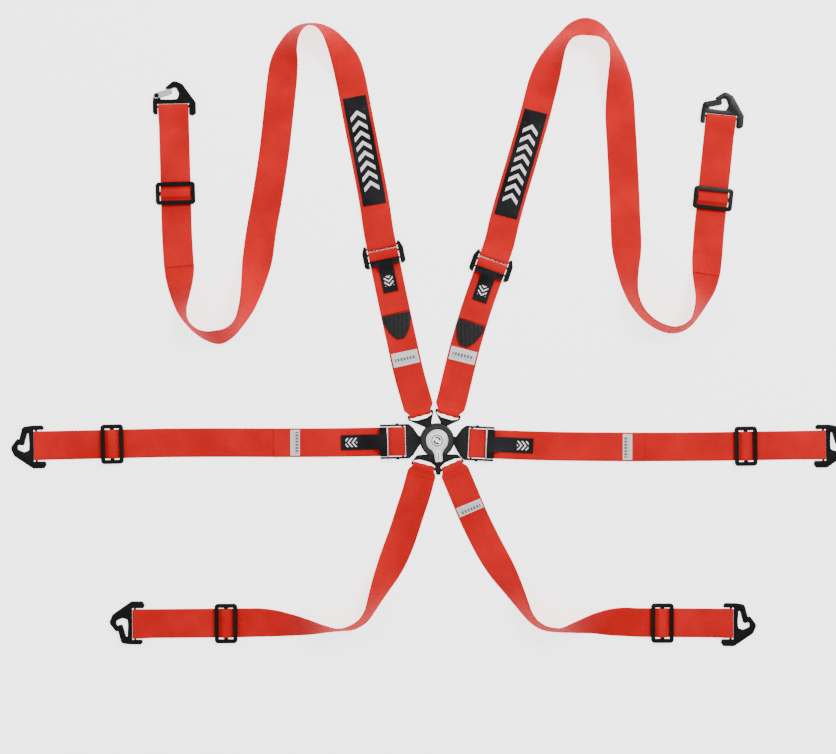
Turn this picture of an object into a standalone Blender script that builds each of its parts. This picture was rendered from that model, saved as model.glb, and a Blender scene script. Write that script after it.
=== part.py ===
"""Six-point racing harness laid flat, with its rotary buckle, adjusters, sliders and snap hooks.

Metres, +Z up. The origin is the middle of the buckle's back face, which lies on the ground plane.
+Y runs towards the shoulder belts and +X towards the right lap belt.
"""
import math

import bmesh
import bpy
from mathutils import Matrix, Vector

for old in list(bpy.data.objects):
    bpy.data.objects.remove(old, do_unlink=True)

MM = 0.001

# ---- driving dimensions, in millimetres ---------------------------------------------------------
SHOULDER_WEB = 50.0      # webbing width of the shoulder belts
LAP_WEB = 48.0           # webbing width of the lap and crotch belts
WEB_T = 1.3              # webbing thickness
GAP = 0.3                # clearance between neighbouring pieces
FLOOR_GAP = 0.1          # lowest webbing above the ground plane
STRAP_SIDE_GAP = 1.2     # webbing edge to the metal beside it

BIGHT_IN = 3.0           # inner radius of webbing wrapped round a bar
BAR_HALF = 1.8           # half width of a flat bar that carries webbing
SLOT_EDGE = 5.5          # bar centre to the far edge of its slot

TONGUE_Z = 2.9           # underside of the tongues
TONGUE_T = 3.0
NECK_WEB = 36.0          # webbing width where it is gathered at a tongue
PIN_AT = 19.0            # latch pins from the buckle's centre
PIN_R = 2.6
PIN_HOLE_R = 3.1

BUCKLE_R = 28.5
BUCKLE_TOP = 16.4
BASE_T = 2.6
LATCH_Z = 8.6
LATCH_T = 1.8
SPINDLE_R = 4.2
LEVER_R = 18.5
LEVER_REACH = 35.5
LEVER_T = 3.5
LEVER_TURN = 5.0
BADGE_R = 11.0

HOOK_T = 4.0             # hook plate
GATE_SIDE = 0.8          # sheet of the folded gate
SLIDER_END = 7.0         # slider frame beyond each end of its windows
SLIDER_WIDE = 38.0       # slider along the belt
SLIDER_WINDOW = 24.0
SLIDER_T = 3.5

PANEL_W = 39.0
TAB_W = 25.0
TAB_T = 1.2

# heights that follow from the above
LOW = FLOOR_GAP + WEB_T / 2                 # centre of a layer on the ground
MID = LOW + WEB_T + GAP                     # centre of a layer on top of it
BIGHT_R = BIGHT_IN + WEB_T / 2              # centre radius of a wrapped layer
AXIS_Z = LOW + BIGHT_R                      # height of every wrapped bar
TOP = AXIS_Z + BIGHT_R                      # centre of a layer leaving over a bar
STACK = MID + WEB_T / 2                     # top of two layers
PAIR = STACK + GAP                          # lowest place for what lies on two layers


# ---- materials -----------------------------------------------------------------------------------
def material(name, colour, roughness, metallic=0.0):
    m = bpy.data.materials.new(name)
    m.use_nodes = True
    m.diffuse_color = (*colour, 1.0)
    shader = m.node_tree.nodes["Principled BSDF"]
    shader.inputs["Base Color"].default_value = (*colour, 1.0)
    shader.inputs["Roughness"].default_value = roughness
    shader.inputs["Metallic"].default_value = metallic
    return m


RED_WEB = material("red_webbing", (0.62, 0.01, 0.012), 0.8)
BLACK_WEB = material("black_webbing", (0.02, 0.02, 0.022), 0.85)
BLACK_STEEL = material("black_steel", (0.012, 0.012, 0.013), 0.4, 0.3)
SILVER = material("silver_metal", (0.72, 0.73, 0.75), 0.25, 1.0)
BADGE = material("badge", (0.45, 0.46, 0.48), 0.35, 0.8)
PLAIN_STEEL = material("plain_steel", (0.5, 0.5, 0.52), 0.3, 1.0)
HOUSING = material("housing_plastic", (0.015, 0.015, 0.016), 0.45)


# ---- solids --------------------------------------------------------------------------------------
def turned(x, y, degrees):
    a = math.radians(degrees)
    return (x * math.cos(a) - y * math.sin(a), x * math.sin(a) + y * math.cos(a))


def area(loop):
    pairs = zip(loop, loop[1:] + loop[:1])
    return sum(a[0] * b[1] - b[0] * a[1] for a, b in pairs) / 2


def circle(x, y, r, count):
    angles = [2 * math.pi * i / count for i in range(count)]
    return [(x + r * math.cos(a), y + r * math.sin(a)) for a in angles]


def rounded(corners, steps=2):
    """A closed outline from corners (x, y) or (x, y, radius)."""
    out = []
    count = len(corners)
    for i, corner in enumerate(corners):
        here = Vector(corner[:2])
        radius = corner[2] if len(corner) > 2 else 0.0
        if radius <= 0:
            out.append(tuple(here))
            continue
        back = Vector(corners[i - 1][:2]) - here
        ahead = Vector(corners[(i + 1) % count][:2]) - here
        half = back.angle(ahead) / 2
        cut = min(radius / math.tan(half), 0.48 * back.length, 0.48 * ahead.length)
        radius = cut * math.tan(half)
        middle = here + (back.normalized() + ahead.normalized()).normalized() * radius / math.sin(half)
        start = here + back.normalized() * cut - middle
        sweep = start.angle_signed(here + ahead.normalized() * cut - middle)
        for k in range(steps + 1):
            p = start.copy()
            p.rotate(Matrix.Rotation(-sweep * k / steps, 2))
            out.append(tuple(middle + p))
    return out


def inset(loop, by):
    """The loop moved by towards its left side, which is where the material is."""
    out = []
    count = len(loop)
    for i in range(count):
        here = Vector(loop[i])
        one = (here - Vector(loop[i - 1])).normalized()
        two = (Vector(loop[(i + 1) % count]) - here).normalized()
        n1 = Vector((-one.y, one.x))
        n2 = Vector((-two.y, two.x))
        out.append(tuple(here + (n1 + n2) * by / (1.0 + max(n1.dot(n2), -0.5))))
    return out


class Shell:
    """A closed body made of level outlines joined by walls and capped by faces."""

    def __init__(self):
        self.bm = bmesh.new()

    def ring(self, loop, z):
        return [self.bm.verts.new((x, y, z)) for x, y in loop]

    def wall(self, low, high):
        count = len(low)
        for i in range(count):
            j = (i + 1) % count
            self.bm.faces.new((low[i], low[j], high[j], high[i]))

    def cap(self, *rings):
        edges = []
        for ring in rings:
            for a, b in zip(ring, ring[1:] + ring[:1]):
                edges.append(self.bm.edges.get((a, b)) or self.bm.edges.new((a, b)))
        bmesh.ops.triangle_fill(self.bm, edges=edges, use_beauty=True)

    def finish(self, name, slot, place=None):
        bmesh.ops.remove_doubles(self.bm, verts=self.bm.verts, dist=1e-5)
        bmesh.ops.recalc_face_normals(self.bm, faces=self.bm.faces)
        bmesh.ops.scale(self.bm, vec=(MM, MM, MM), verts=self.bm.verts)
        return add(name, self.bm, slot, place)


def add(name, bm, slot, place=None):
    mesh = bpy.data.meshes.new(name)
    bm.to_mesh(mesh)
    bm.free()
    mesh.materials.append(slot)
    ob = bpy.data.objects.new(name, mesh)
    bpy.context.scene.collection.objects.link(ob)
    if place is not None:
        ob.matrix_world = place
    shade(mesh)
    return ob


def shade(mesh, degrees=40):
    """Smooth shading, kept sharp at edges that turn by more than the angle."""
    mesh.shade_smooth()
    mesh.set_sharp_from_angle(angle=math.radians(degrees))


def place_at(x, y, z, degrees=0.0):
    """A place in millimetres, turned about Z."""
    return Matrix.Translation((x * MM, y * MM, z * MM)) @ Matrix.Rotation(math.radians(degrees), 4, "Z")


def plate_rings(shell, loops, z0, z1, chamfer):
    """Walls of a plate with chamfered rims: returns its bottom and top rings, one per loop."""
    bottoms = []
    tops = []
    for i, loop in enumerate(loops):
        if (area(loop) > 0) != (i == 0):
            loop = loop[::-1]
        if chamfer > 0:
            edge = inset(loop, chamfer)
            levels = [(edge, z0), (loop, z0 + chamfer), (loop, z1 - chamfer), (edge, z1)]
        else:
            levels = [(loop, z0), (loop, z1)]
        rings = [shell.ring(points, z) for points, z in levels]
        for low, high in zip(rings, rings[1:]):
            shell.wall(low, high)
        bottoms.append(rings[0])
        tops.append(rings[-1])
    return bottoms, tops


def plate(name, loops, z0, z1, slot, chamfer=0.0, place=None):
    shell = Shell()
    bottoms, tops = plate_rings(shell, loops, z0, z1, chamfer)
    shell.cap(*bottoms)
    shell.cap(*tops)
    return shell.finish(name, slot, place)


def lathe(name, profile, count, slot):
    """A turned body about Z from a closed profile of (radius, z); radius 0 closes it on the axis."""
    shell = Shell()
    rings = []
    for r, z in profile:
        if r > 0:
            rings.append(shell.ring(circle(0, 0, r, count), z))
        else:
            rings.append(shell.bm.verts.new((0, 0, z)))
    for a, b in zip(rings, rings[1:] + rings[:1]):
        if isinstance(a, list) and isinstance(b, list):
            shell.wall(a, b)
        elif isinstance(a, list) or isinstance(b, list):
            ring, tip = (a, b) if isinstance(a, list) else (b, a)
            for i in range(count):
                shell.bm.faces.new((ring[i], ring[(i + 1) % count], tip))
    return shell.finish(name, slot)


def rod(name, r, half_length, z, slot, count=12, place=None):
    """A round rod along local X at height z."""
    bm = bmesh.new()
    turn = Matrix.Translation((0, 0, z)) @ Matrix.Rotation(math.pi / 2, 4, "Y")
    bmesh.ops.create_cone(
        bm, cap_ends=True, cap_tris=False, segments=count, radius1=r, radius2=r,
        depth=2 * half_length, matrix=turn,
    )
    bmesh.ops.scale(bm, vec=(MM, MM, MM), verts=bm.verts)
    return add(name, bm, slot, place)


def combine(ob, other, operation):
    """Boolean of two closed bodies, kept in ob."""
    step = ob.modifiers.new("combine", "BOOLEAN")
    step.operation = operation
    step.solver = "EXACT"
    step.object = other
    graph = bpy.context.evaluated_depsgraph_get()
    mesh = bpy.data.meshes.new_from_object(ob.evaluated_get(graph))
    ob.modifiers.remove(step)
    ob.data = mesh
    bpy.data.objects.remove(other, do_unlink=True)
    shade(mesh)


# ---- belts ---------------------------------------------------------------------------------------
class Route:
    """A belt's middle line seen from above, through stations (x, y, lean) in millimetres and degrees.

    A positive lean lifts the edge on the left of the direction of travel, a negative one the right.
    Before the first station and after the last it runs straight on.
    """

    STEP = 1.0

    def __init__(self, stations):
        points = [Vector(s) for s in stations]
        first = points[0] * 2 - points[1]
        last = points[-1] * 2 - points[-2]
        first.z = points[0].z
        last.z = points[-1].z
        full = [first] + points + [last]
        self.table = []
        for i in range(1, len(full) - 2):
            count = max(4, int((full[i + 1].xy - full[i].xy).length / self.STEP))
            for k in range(count):
                self.table.append(self.spline(full[i - 1:i + 3], k / count))
        self.table.append(points[-1].copy())
        self.along = [0.0]
        for a, b in zip(self.table, self.table[1:]):
            self.along.append(self.along[-1] + (b.xy - a.xy).length)
        self.length = self.along[-1]
        self.mark_turns()

    @staticmethod
    def spline(p, t):
        """Catmull-Rom between p[1] and p[2] with tangents scaled to uneven spacing."""
        d0 = max((p[1].xy - p[0].xy).length, 1e-6)
        d1 = max((p[2].xy - p[1].xy).length, 1e-6)
        d2 = max((p[3].xy - p[2].xy).length, 1e-6)
        m1 = ((p[1] - p[0]) / d0 * d1 + (p[2] - p[1]) / d1 * d0) / (d0 + d1) * d1
        m2 = ((p[2] - p[1]) / d1 * d2 + (p[3] - p[2]) / d2 * d1) / (d1 + d2) * d1
        a = 2 * t ** 3 - 3 * t ** 2 + 1
        b = t ** 3 - 2 * t ** 2 + t
        c = -2 * t ** 3 + 3 * t ** 2
        d = t ** 3 - t ** 2
        out = p[1] * a + m1 * b + p[2] * c + m2 * d
        out.z = min(max(out.z, min(p[1].z, p[2].z)), max(p[1].z, p[2].z))
        return out

    def at(self, s):
        """(position, direction, lean in radians) at the distance s."""
        if s <= 0:
            way = (self.table[2] - self.table[0]).xy.normalized()
            return self.table[0].xy + way * s, way, math.radians(self.table[0].z)
        if s >= self.length:
            way = (self.table[-1] - self.table[-3]).xy.normalized()
            return self.table[-1].xy + way * (s - self.length), way, math.radians(self.table[-1].z)
        low, high = 0, len(self.along) - 1
        while high - low > 1:
            half = (low + high) // 2
            if self.along[half] <= s:
                low = half
            else:
                high = half
        part = (s - self.along[low]) / (self.along[high] - self.along[low])
        here = self.table[low].lerp(self.table[high], part)
        before = self.table[max(low - 2, 0)]
        after = self.table[min(high + 2, len(self.table) - 1)]
        return here.xy, (after - before).xy.normalized(), math.radians(here.z)

    def mark_turns(self, turn=8.0, longest=90.0):
        """Distances with one wherever the belt has turned or leaned by turn degrees."""
        count = int(self.length / 2)
        self.marks = [0.0]
        _, way, lean = self.at(0)
        flat = lean == 0
        for k in range(1, count):
            s = self.length * k / count
            _, way2, lean2 = self.at(s)
            change = math.degrees(abs(way.angle_signed(way2)) + abs(lean2 - lean))
            if change > turn or abs(s - self.marks[-1]) > longest or (lean2 == 0) != flat:
                self.marks.append(s)
                way, lean = way2, lean2
                flat = lean2 == 0
        self.marks.append(self.length)

    def mark(self, *places):
        """Every layer gets a section at these distances too."""
        for s in places:
            self.marks = [m for m in self.marks if abs(m - s) > 2.0 or m in (0.0, self.length)] + [s]
        self.marks.sort()

    def stops(self, s0, s1):
        inner = [m for m in self.marks if min(s0, s1) + 1.0 < m < max(s0, s1) - 1.0]
        return [s0] + (inner if s1 > s0 else inner[::-1]) + [s1]


def ease(t):
    return t * t * (3 - 2 * t)


class Belt:
    """Webbing swept along a route; the track is its side view, (distance, height)."""

    def __init__(self, route, width):
        self.route = route
        self.width = width
        self.track = []
        self.widths = []

    def put(self, s, z, width=None):
        self.track.append((s, z))
        self.widths.append(width or self.width)

    def run(self, s0, s1, z0, z1=None, w0=None, w1=None):
        """Along the route from s0 to s1, easing from height z0 to z1 and from width w0 to w1."""
        z1 = z0 if z1 is None else z1
        w0 = w0 or self.width
        w1 = w1 or w0
        if z0 == z1 and w0 == w1:
            stops = self.route.stops(s0, s1)
        else:
            stops = [s0 + (s1 - s0) * k / 5 for k in range(6)]
        for s in stops:
            part = (s - s0) / (s1 - s0)
            if self.track and (abs(self.track[-1][0] - s) + abs(self.track[-1][1] - z0) < 1e-4):
                continue
            self.put(s, z0 + (z1 - z0) * ease(part), w0 + (w1 - w0) * part)

    def bight(self, s, outward, rising, width=None):
        """Half a turn round the bar at s, bulging towards outward (+1 or -1)."""
        for k in range(1, 6):
            a = math.pi * k / 6
            drop = -math.cos(a) if rising else math.cos(a)
            self.put(s + outward * BIGHT_R * math.sin(a), AXIS_Z + BIGHT_R * drop, width)

    def start_under(self, tail, slack=30.0, neck=None):
        """The tail comes in on the ground, turns up round the bar at 0 and lies under the belt."""
        self.route.mark(slack, tail, tail + 4, tail + 24)
        if neck:
            self.run(tail, slack, LOW)
            self.run(slack, 0, LOW, LOW, self.width, neck)
        else:
            self.run(tail, 0, LOW)
        self.bight(0, -1, True, neck)
        self.run(0, slack, TOP, MID, neck, self.width)
        self.run(slack, tail + 4, MID)
        self.run(tail + 4, tail + 24, MID, LOW)

    def end_over(self, tail, slack):
        """The belt turns up round the bar at its end and comes back on top of itself."""
        last = self.route.length
        self.route.mark(last - slack, last - tail)
        self.run(self.track[-1][0], last, LOW)
        self.bight(last, 1, True)
        self.run(last, last - slack, TOP, MID)
        self.run(last - slack, last - tail, MID)

    def end_under(self, tail, slack=30.0):
        """The belt rises over its own tail, turns down round the bar at its end and lies below."""
        last = self.route.length
        self.route.mark(last - slack, last - tail, last - tail - 4, last - tail - 24)
        self.run(self.track[-1][0], last - tail - 24, LOW)
        self.run(last - tail - 24, last - tail - 4, LOW, MID)
        self.run(last - tail - 4, last - slack, MID)
        self.run(last - slack, last, MID, TOP)
        self.bight(last, 1, False)
        self.run(last, last - tail, LOW)

    def frame_at(self, s, z, width):
        here, way, lean = self.route.at(s)
        left = Vector((-way.y, way.x, 0))
        side = left * math.cos(lean) + Vector((0, 0, 1)) * math.sin(lean)
        rise = abs(math.sin(lean)) * width / 2
        return Vector((here.x, here.y, z + rise)), side

    def solid(self, name, slot, thickness=WEB_T):
        frames = [self.frame_at(s, z, w) for (s, z), w in zip(self.track, self.widths)]
        bm = bmesh.new()
        rings = []
        for i, (centre, side) in enumerate(frames):
            before = frames[max(i - 1, 0)][0]
            after = frames[min(i + 1, len(frames) - 1)][0]
            up = (after - before).normalized().cross(side).normalized()
            w = side * self.widths[i] / 2
            t = up * thickness / 2
            corners = (centre - w - t, centre + w - t, centre + w + t, centre - w + t)
            rings.append([bm.verts.new(c * MM) for c in corners])
        for a, b in zip(rings, rings[1:]):
            # a twisted stretch is split along the same diagonal above and below, or its faces would cross
            for k, split in ((0, 0), (1, 0), (2, 1), (3, 1)):
                n = (k + 1) % 4
                if split:
                    bm.faces.new((a[k], a[n], b[k]))
                    bm.faces.new((a[n], b[n], b[k]))
                else:
                    bm.faces.new((a[k], a[n], b[n]))
                    bm.faces.new((a[k], b[n], b[k]))
        bm.faces.new(rings[0])
        bm.faces.new(rings[-1][::-1])
        bmesh.ops.recalc_face_normals(bm, faces=bm.faces)
        return add(name, bm, slot)


def strip(name, profile, width, thickness, slot, place=None):
    """Webbing or sheet of one width across local X that follows a side profile of (y, z)."""
    bm = bmesh.new()
    rings = []
    for i, (y, z) in enumerate(profile):
        before = Vector(profile[max(i - 1, 0)])
        after = Vector(profile[min(i + 1, len(profile) - 1)])
        way = (after - before).normalized()
        up = Vector((0, -way.y, way.x)) * thickness / 2
        centre = Vector((0, y, z))
        side = Vector((width / 2, 0, 0))
        corners = (centre - side - up, centre + side - up, centre + side + up, centre - side + up)
        rings.append([bm.verts.new(c * MM) for c in corners])
    for a, b in zip(rings, rings[1:]):
        for k in range(4):
            bm.faces.new((a[k], a[(k + 1) % 4], b[(k + 1) % 4], b[k]))
    bm.faces.new(rings[0])
    bm.faces.new(rings[-1][::-1])
    bmesh.ops.recalc_face_normals(bm, faces=bm.faces)
    return add(name, bm, slot, place)


# ---- where the belts run -------------------------------------------------------------------------
SHOULDER_LOWER = {
    "left": [(-28, 44, 0), (-34.1, 66, 0), (-45.5, 106, 0), (-58.5, 163, 0), (-73, 230, 0), (-90, 312, 0)],
    "right": [(18.5, 45, 0), (24.7, 66, 0), (32.5, 98, 0), (48, 160, 0), (65, 216.5, 0), (92, 294, 0)],
}
SHOULDER_UPPER = {
    "left": [
        (-103.5, 390, 0), (-121, 483, 0), (-134, 550, 0), (-139, 577, 0), (-144.5, 604, 6),
        (-152, 630, 20), (-165, 655, 44), (-180, 675, 61), (-196, 685.5, 71), (-211, 687.5, 73),
        (-226, 682.5, 66), (-238, 671, 57), (-248.5, 650, 41), (-254.5, 626, 16), (-258, 600, 3),
        (-263.5, 550, 0), (-271, 483, 0), (-283, 403, 0), (-294, 340, 0), (-298, 304, -14),
        (-302.5, 272, -38), (-308, 244, -54), (-316, 217, -67), (-329, 192, -77), (-345, 177, -72),
        (-362, 170.5, -65), (-380, 172, -72), (-398, 180.5, -78), (-413, 196, -76), (-421.5, 216, -62),
        (-425, 240, -42), (-427, 262, -22), (-429.5, 288, 0), (-431.5, 314, 0),
        (-433, 340, 0), (-435, 411.7, 0), (-437, 483.3, 0), (-439, 555, 0),
    ],
    "right": [
        (112, 363, 0), (146.5, 483, 0), (165.5, 550, 0), (171, 572, 0), (179.5, 604, -17),
        (189, 632, -40), (199.5, 653, -56), (212.5, 669, -60), (228, 680, -50), (246, 685, -42),
        (263, 681, -46), (277, 671, -57), (289, 655, -64), (297.5, 632, -53), (302, 604, -34),
        (304, 572, -16), (305, 545, -4), (308.5, 483, 0), (312.5, 403, 0), (314.5, 345, 6),
        (314.5, 315, 26), (315, 285, 50), (317.5, 259, 65), (323, 237, 75), (334, 216, 81),
        (350, 199, 82), (369, 187.5, 81), (390, 182.5, 79), (408, 187, 76), (420, 196.5, 74),
        (429, 212, 67), (437, 232, 54), (443.5, 255, 32), (447.5, 280, 12), (450, 306, 0),
        (453, 345, 0), (459.5, 409, 0), (466, 473, 0), (472.5, 537, 0),
    ],
}
LAP = {
    "left": [
        (-666.5, -9.5, 0), (-600, -8, 0), (-533.5, -6.5, 0), (-467, -5, 0), (-380, -4.3, 0),
        (-250, -4.5, 0), (-160, -4, 0), (-100, -3, 0), (-57, -2, 0),
    ],
    "right": [
        (642.4, -8, 0), (576, -9, 0), (509.6, -10, 0), (443.2, -11, 0), (345, -11.5, 0),
        (250, -11, 0), (185, -10, 0), (120, -8, 0), (57, -5, 0),
    ],
}
CROTCH = {
    "left": [
        (-22.5, -44, 0), (-28, -64.5, 0), (-35, -90, 0), (-44, -117, 0), (-57, -157, 0),
        (-68, -186, -8), (-80, -214, -26), (-92, -239, -44), (-102, -261, -58), (-111, -281, -68),
        (-123, -298, -70), (-141, -309, -72), (-162, -312.5, -76), (-184, -311.5, -67),
        (-208, -309.5, -52), (-243, -306, -32), (-280, -304, -10), (-305, -304, 0),
        (-327, -304.5, 0), (-385.5, -305, 0), (-444, -305.5, 0), (-502.4, -306, 0),
    ],
    "right": [
        (25, -43, 0), (33, -61.5, 0), (45, -90, 0), (62, -130, 0), (75, -157, 0), (89, -184, 6),
        (105, -211, 20), (122, -239, 42), (138, -267, 60), (149, -286, 70), (160, -299, 73),
        (176, -309, 73), (200, -313, 73), (228, -309, 58), (262, -303.5, 36), (293, -302.5, 12),
        (315, -303, 0), (335, -303.8, 0), (386.2, -304.2, 0), (437.4, -304.6, 0), (488.6, -305, 0),
    ],
}
SIDES = ("left", "right")
FAR_BAR = 10.0                              # from an adjuster's wrapped bar to its upper belt's bar
BELT_END_TAIL = {"shoulder_left": 266.0, "shoulder_right": 262.0}
FREE_TAIL = {"left": 215.0, "right": 288.0}
SLIDER_FROM_HOOK = {
    "shoulder_left": 144.7, "shoulder_right": 136.0, "lap_left": 126.3, "lap_right": 129.0,
    "crotch_left": 151.6, "crotch_right": 114.0,
}


class Spot:
    """A place on the ground with a direction: its own (across, ahead) turned into world (x, y)."""

    def __init__(self, x, y, degrees):
        self.x = x
        self.y = y
        self.degrees = degrees

    def world(self, across, ahead):
        dx, dy = turned(across, ahead, self.degrees - 90)
        return (self.x + dx, self.y + dy)

    def outline(self, corners):
        return [self.world(*c[:2]) + tuple(c[2:]) for c in corners]

    def place(self, across, ahead, z):
        x, y = self.world(across, ahead)
        return place_at(x, y, z, self.degrees - 90)


ROUTES = {}


def spot_on(name, s, back=False):
    """The place at the distance s along a belt, facing along it or back."""
    here, way, _ = ROUTES[name].at(s)
    return Spot(here.x, here.y, math.degrees(math.atan2(way.y, way.x)) + (180 if back else 0))


def hook_spot(belt):
    """Where a belt's hook hangs, facing away from the belt."""
    if belt.startswith("lap"):
        return spot_on(belt, 0, True)
    return spot_on(belt, ROUTES[belt].length)


def slider_spot(belt):
    """A slider's middle, facing its hook."""
    at = SLIDER_FROM_HOOK[belt]
    if belt.startswith("lap"):
        return spot_on(belt, at, True)
    return spot_on(belt, ROUTES[belt].length - at)


def adjuster_spot(name):
    """An adjuster's wrapped bar, facing along the free tail of its belt."""
    return spot_on(name, ROUTES[name].length, True)


for side in SIDES:
    lower = "shoulder_lower_" + side
    ROUTES[lower] = Route(SHOULDER_LOWER[side])
    square = [adjuster_spot(lower).world(0, -FAR_BAR - ahead) + (0,) for ahead in (0, 22)]
    ROUTES["shoulder_" + side] = Route(square + SHOULDER_UPPER[side])
    ROUTES["lap_" + side] = Route(LAP[side])
    ROUTES["crotch_" + side] = Route(CROTCH[side])


# ---- buckle --------------------------------------------------------------------------------------
TONGUE_ANGLES = {
    "shoulder_left": 121.0, "shoulder_right": 66.0, "lap_left": 180.0, "lap_right": 0.0, "crotch": 270.0,
}


def buckle():
    shell = Shell()
    rim = circle(0, 0, BUCKLE_R, 40)
    low = shell.ring(inset(rim, 0.6), 0)
    middle = shell.ring(rim, 0.6)
    high = shell.ring(rim, BASE_T)
    shell.wall(low, middle)
    shell.wall(middle, high)
    shell.cap(low)
    pads = [high]
    clear = sorted((angle, 36 if name == "crotch" else 21) for name, angle in TONGUE_ANGLES.items())
    for (a, after), (b, before) in zip(clear, clear[1:] + [(360, 21)]):
        start, stop = a + after, b - before
        count = max(2, int((stop - start) / 10))
        outer = [turned(BUCKLE_R - 1.5, 0, start + (stop - start) * k / count) for k in range(count + 1)]
        inner = [turned(22.5, 0, start + (stop - start) * k / count) for k in range(count + 1)]
        loop = outer + inner[::-1]
        foot = shell.ring(loop, BASE_T)
        head = shell.ring(loop, TONGUE_Z + TONGUE_T + GAP)
        shell.wall(foot, head)
        shell.cap(head)
        pads.append(foot)
    shell.cap(*pads)
    shell.finish("buckle_base_plate", BLACK_STEEL)

    roof = BUCKLE_TOP - 2.0
    skirt = TONGUE_Z + TONGUE_T + 2 * GAP
    lathe("buckle_housing", [
        (SPINDLE_R + 0.5, roof), (BUCKLE_R - 4.2, roof), (BUCKLE_R - 2.2, roof - 2), (BUCKLE_R - 2.2, skirt),
        (BUCKLE_R, skirt), (BUCKLE_R, BUCKLE_TOP - 3), (BUCKLE_R - 0.9, BUCKLE_TOP - 0.9),
        (BUCKLE_R - 3, BUCKLE_TOP), (SPINDLE_R + 0.5, BUCKLE_TOP),
    ], 36, HOUSING)

    shell = Shell()
    disc = circle(0, 0, PIN_AT + 3.6, 30)
    bore = circle(0, 0, SPINDLE_R + 0.4, 14)
    bottoms, tops = plate_rings(shell, [disc, bore], LATCH_Z, LATCH_Z + LATCH_T, 0)
    for angle in TONGUE_ANGLES.values():
        x, y = turned(PIN_AT, 0, angle)
        loop = circle(x, y, PIN_R, 10)
        root = shell.ring(loop, LATCH_Z)
        tip = shell.ring(loop, BASE_T + 2 * GAP)
        shell.wall(tip, root)
        shell.cap(tip)
        bottoms.append(root)
    shell.cap(*bottoms)
    shell.cap(*tops)
    shell.finish("latch_plate", PLAIN_STEEL)

    lathe("spindle", [
        (0, BASE_T + GAP), (SPINDLE_R, BASE_T + GAP), (SPINDLE_R, 6.5), (9, 6.5), (9, LATCH_Z - GAP),
        (SPINDLE_R, LATCH_Z - GAP), (SPINDLE_R, BUCKLE_TOP + 0.2), (0, BUCKLE_TOP + 0.2),
    ], 16, PLAIN_STEEL)

    z = BUCKLE_TOP + 0.2 + GAP
    arc = [turned(LEVER_R, 0, -62 + k * (304 / 28)) for k in range(29)]
    handle = rounded([(-8.6, -16.4), (-6, -LEVER_REACH, 2.5), (6, -LEVER_REACH, 2.5), (8.6, -16.4)], 4)
    outline = [turned(x, y, LEVER_TURN) for x, y in arc + handle[1:-1]]
    plate("release_lever", [outline], z, z + LEVER_T, SILVER, 0.8)
    lathe("lever_badge", [
        (0, z + LEVER_T + GAP), (BADGE_R, z + LEVER_T + GAP), (BADGE_R, z + LEVER_T + 0.9),
        (BADGE_R - 0.6, z + LEVER_T + 1.4), (0, z + LEVER_T + 1.4),
    ], 28, BADGE)


# ---- tongues -------------------------------------------------------------------------------------
HEAD_HALF = NECK_WEB / 2 + 0.5      # half length of a gathered belt's slot
SLOT_DEEP = 9.5


def tip(angle, reach):
    """The forked tip of a tongue round its latch pin: its right side, then its left, looking outwards."""
    r = PIN_HOLE_R
    right = [(PIN_AT + r, r, r), (PIN_AT + r, -r, r), (13, -r, 0.5), (13, -5.7, 1.5), (reach, -6.5, 0)]
    left = [(reach, 6.5, 0), (13, 5.7, 1.5), (13, r, 0.5)]
    return [[turned(x, y, angle) + (radius,) for x, y, radius in one] for one in (right, left)]


def gathered_slot(spot):
    return rounded(spot.outline([
        (-HEAD_HALF, -BAR_HALF, 1), (HEAD_HALF, -BAR_HALF, 1), (HEAD_HALF, -SLOT_EDGE - 0.2, 1),
        (9, -SLOT_DEEP, 2), (-9, -SLOT_DEEP, 2), (-HEAD_HALF, -SLOT_EDGE - 0.2, 1),
    ]))


def shoulder_tongue(side):
    angle = TONGUE_ANGLES["shoulder_" + side]
    spot = spot_on("shoulder_lower_" + side, 0)
    right, left = tip(angle, 29)
    wide = HEAD_HALF + 3.4
    slim = 3.0 if side == "left" else 6.0
    other = 9.0 - slim
    head = spot.outline([
        (wide, -slim, 1.5), (wide, BAR_HALF, 1.5), (-wide, BAR_HALF, 1.5), (-wide, -other, 1.5),
    ])
    outline = rounded(right + head + left)
    z1 = TONGUE_Z + TONGUE_T
    loops = [outline, gathered_slot(spot)]
    plate("shoulder_tongue_" + side, loops, TONGUE_Z, z1, BLACK_STEEL, 0.4)


def crotch_tongue():
    left = spot_on("crotch_left", 0)
    right = spot_on("crotch_right", 0)
    wide = HEAD_HALF + 2.6
    fork_right, fork_left = tip(270, 25.5)
    outline = [
        (16, -23.5, 4), (34, -23.5, 7),
        right.world(-wide, -3) + (2,), right.world(-wide, BAR_HALF) + (2,), right.world(wide, BAR_HALF),
        (5.8, -58, 2), (-1.8, -58, 2),
        left.world(-wide, BAR_HALF), left.world(wide, BAR_HALF) + (2,), left.world(wide, -3) + (2,),
        (-34, -25, 7), (-15, -23.5, 4),
    ]
    outline = rounded(outline + fork_right[::-1] + fork_left[::-1])
    loops = [outline, gathered_slot(left), gathered_slot(right)]
    plate("crotch_tongue", loops, TONGUE_Z, TONGUE_Z + TONGUE_T, BLACK_STEEL, 0.4)


# ---- adjusters -----------------------------------------------------------------------------------
ROD_Z = 8.2
ROD_R = 1.5
CHEEK_TOP = 11.0
LEVER_LOW = 7.0
LEVER_HIGH = 9.4
TAB_Z = LEVER_HIGH + GAP + TAB_T / 2
TAB_REST = PAIR + TAB_T / 2


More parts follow.
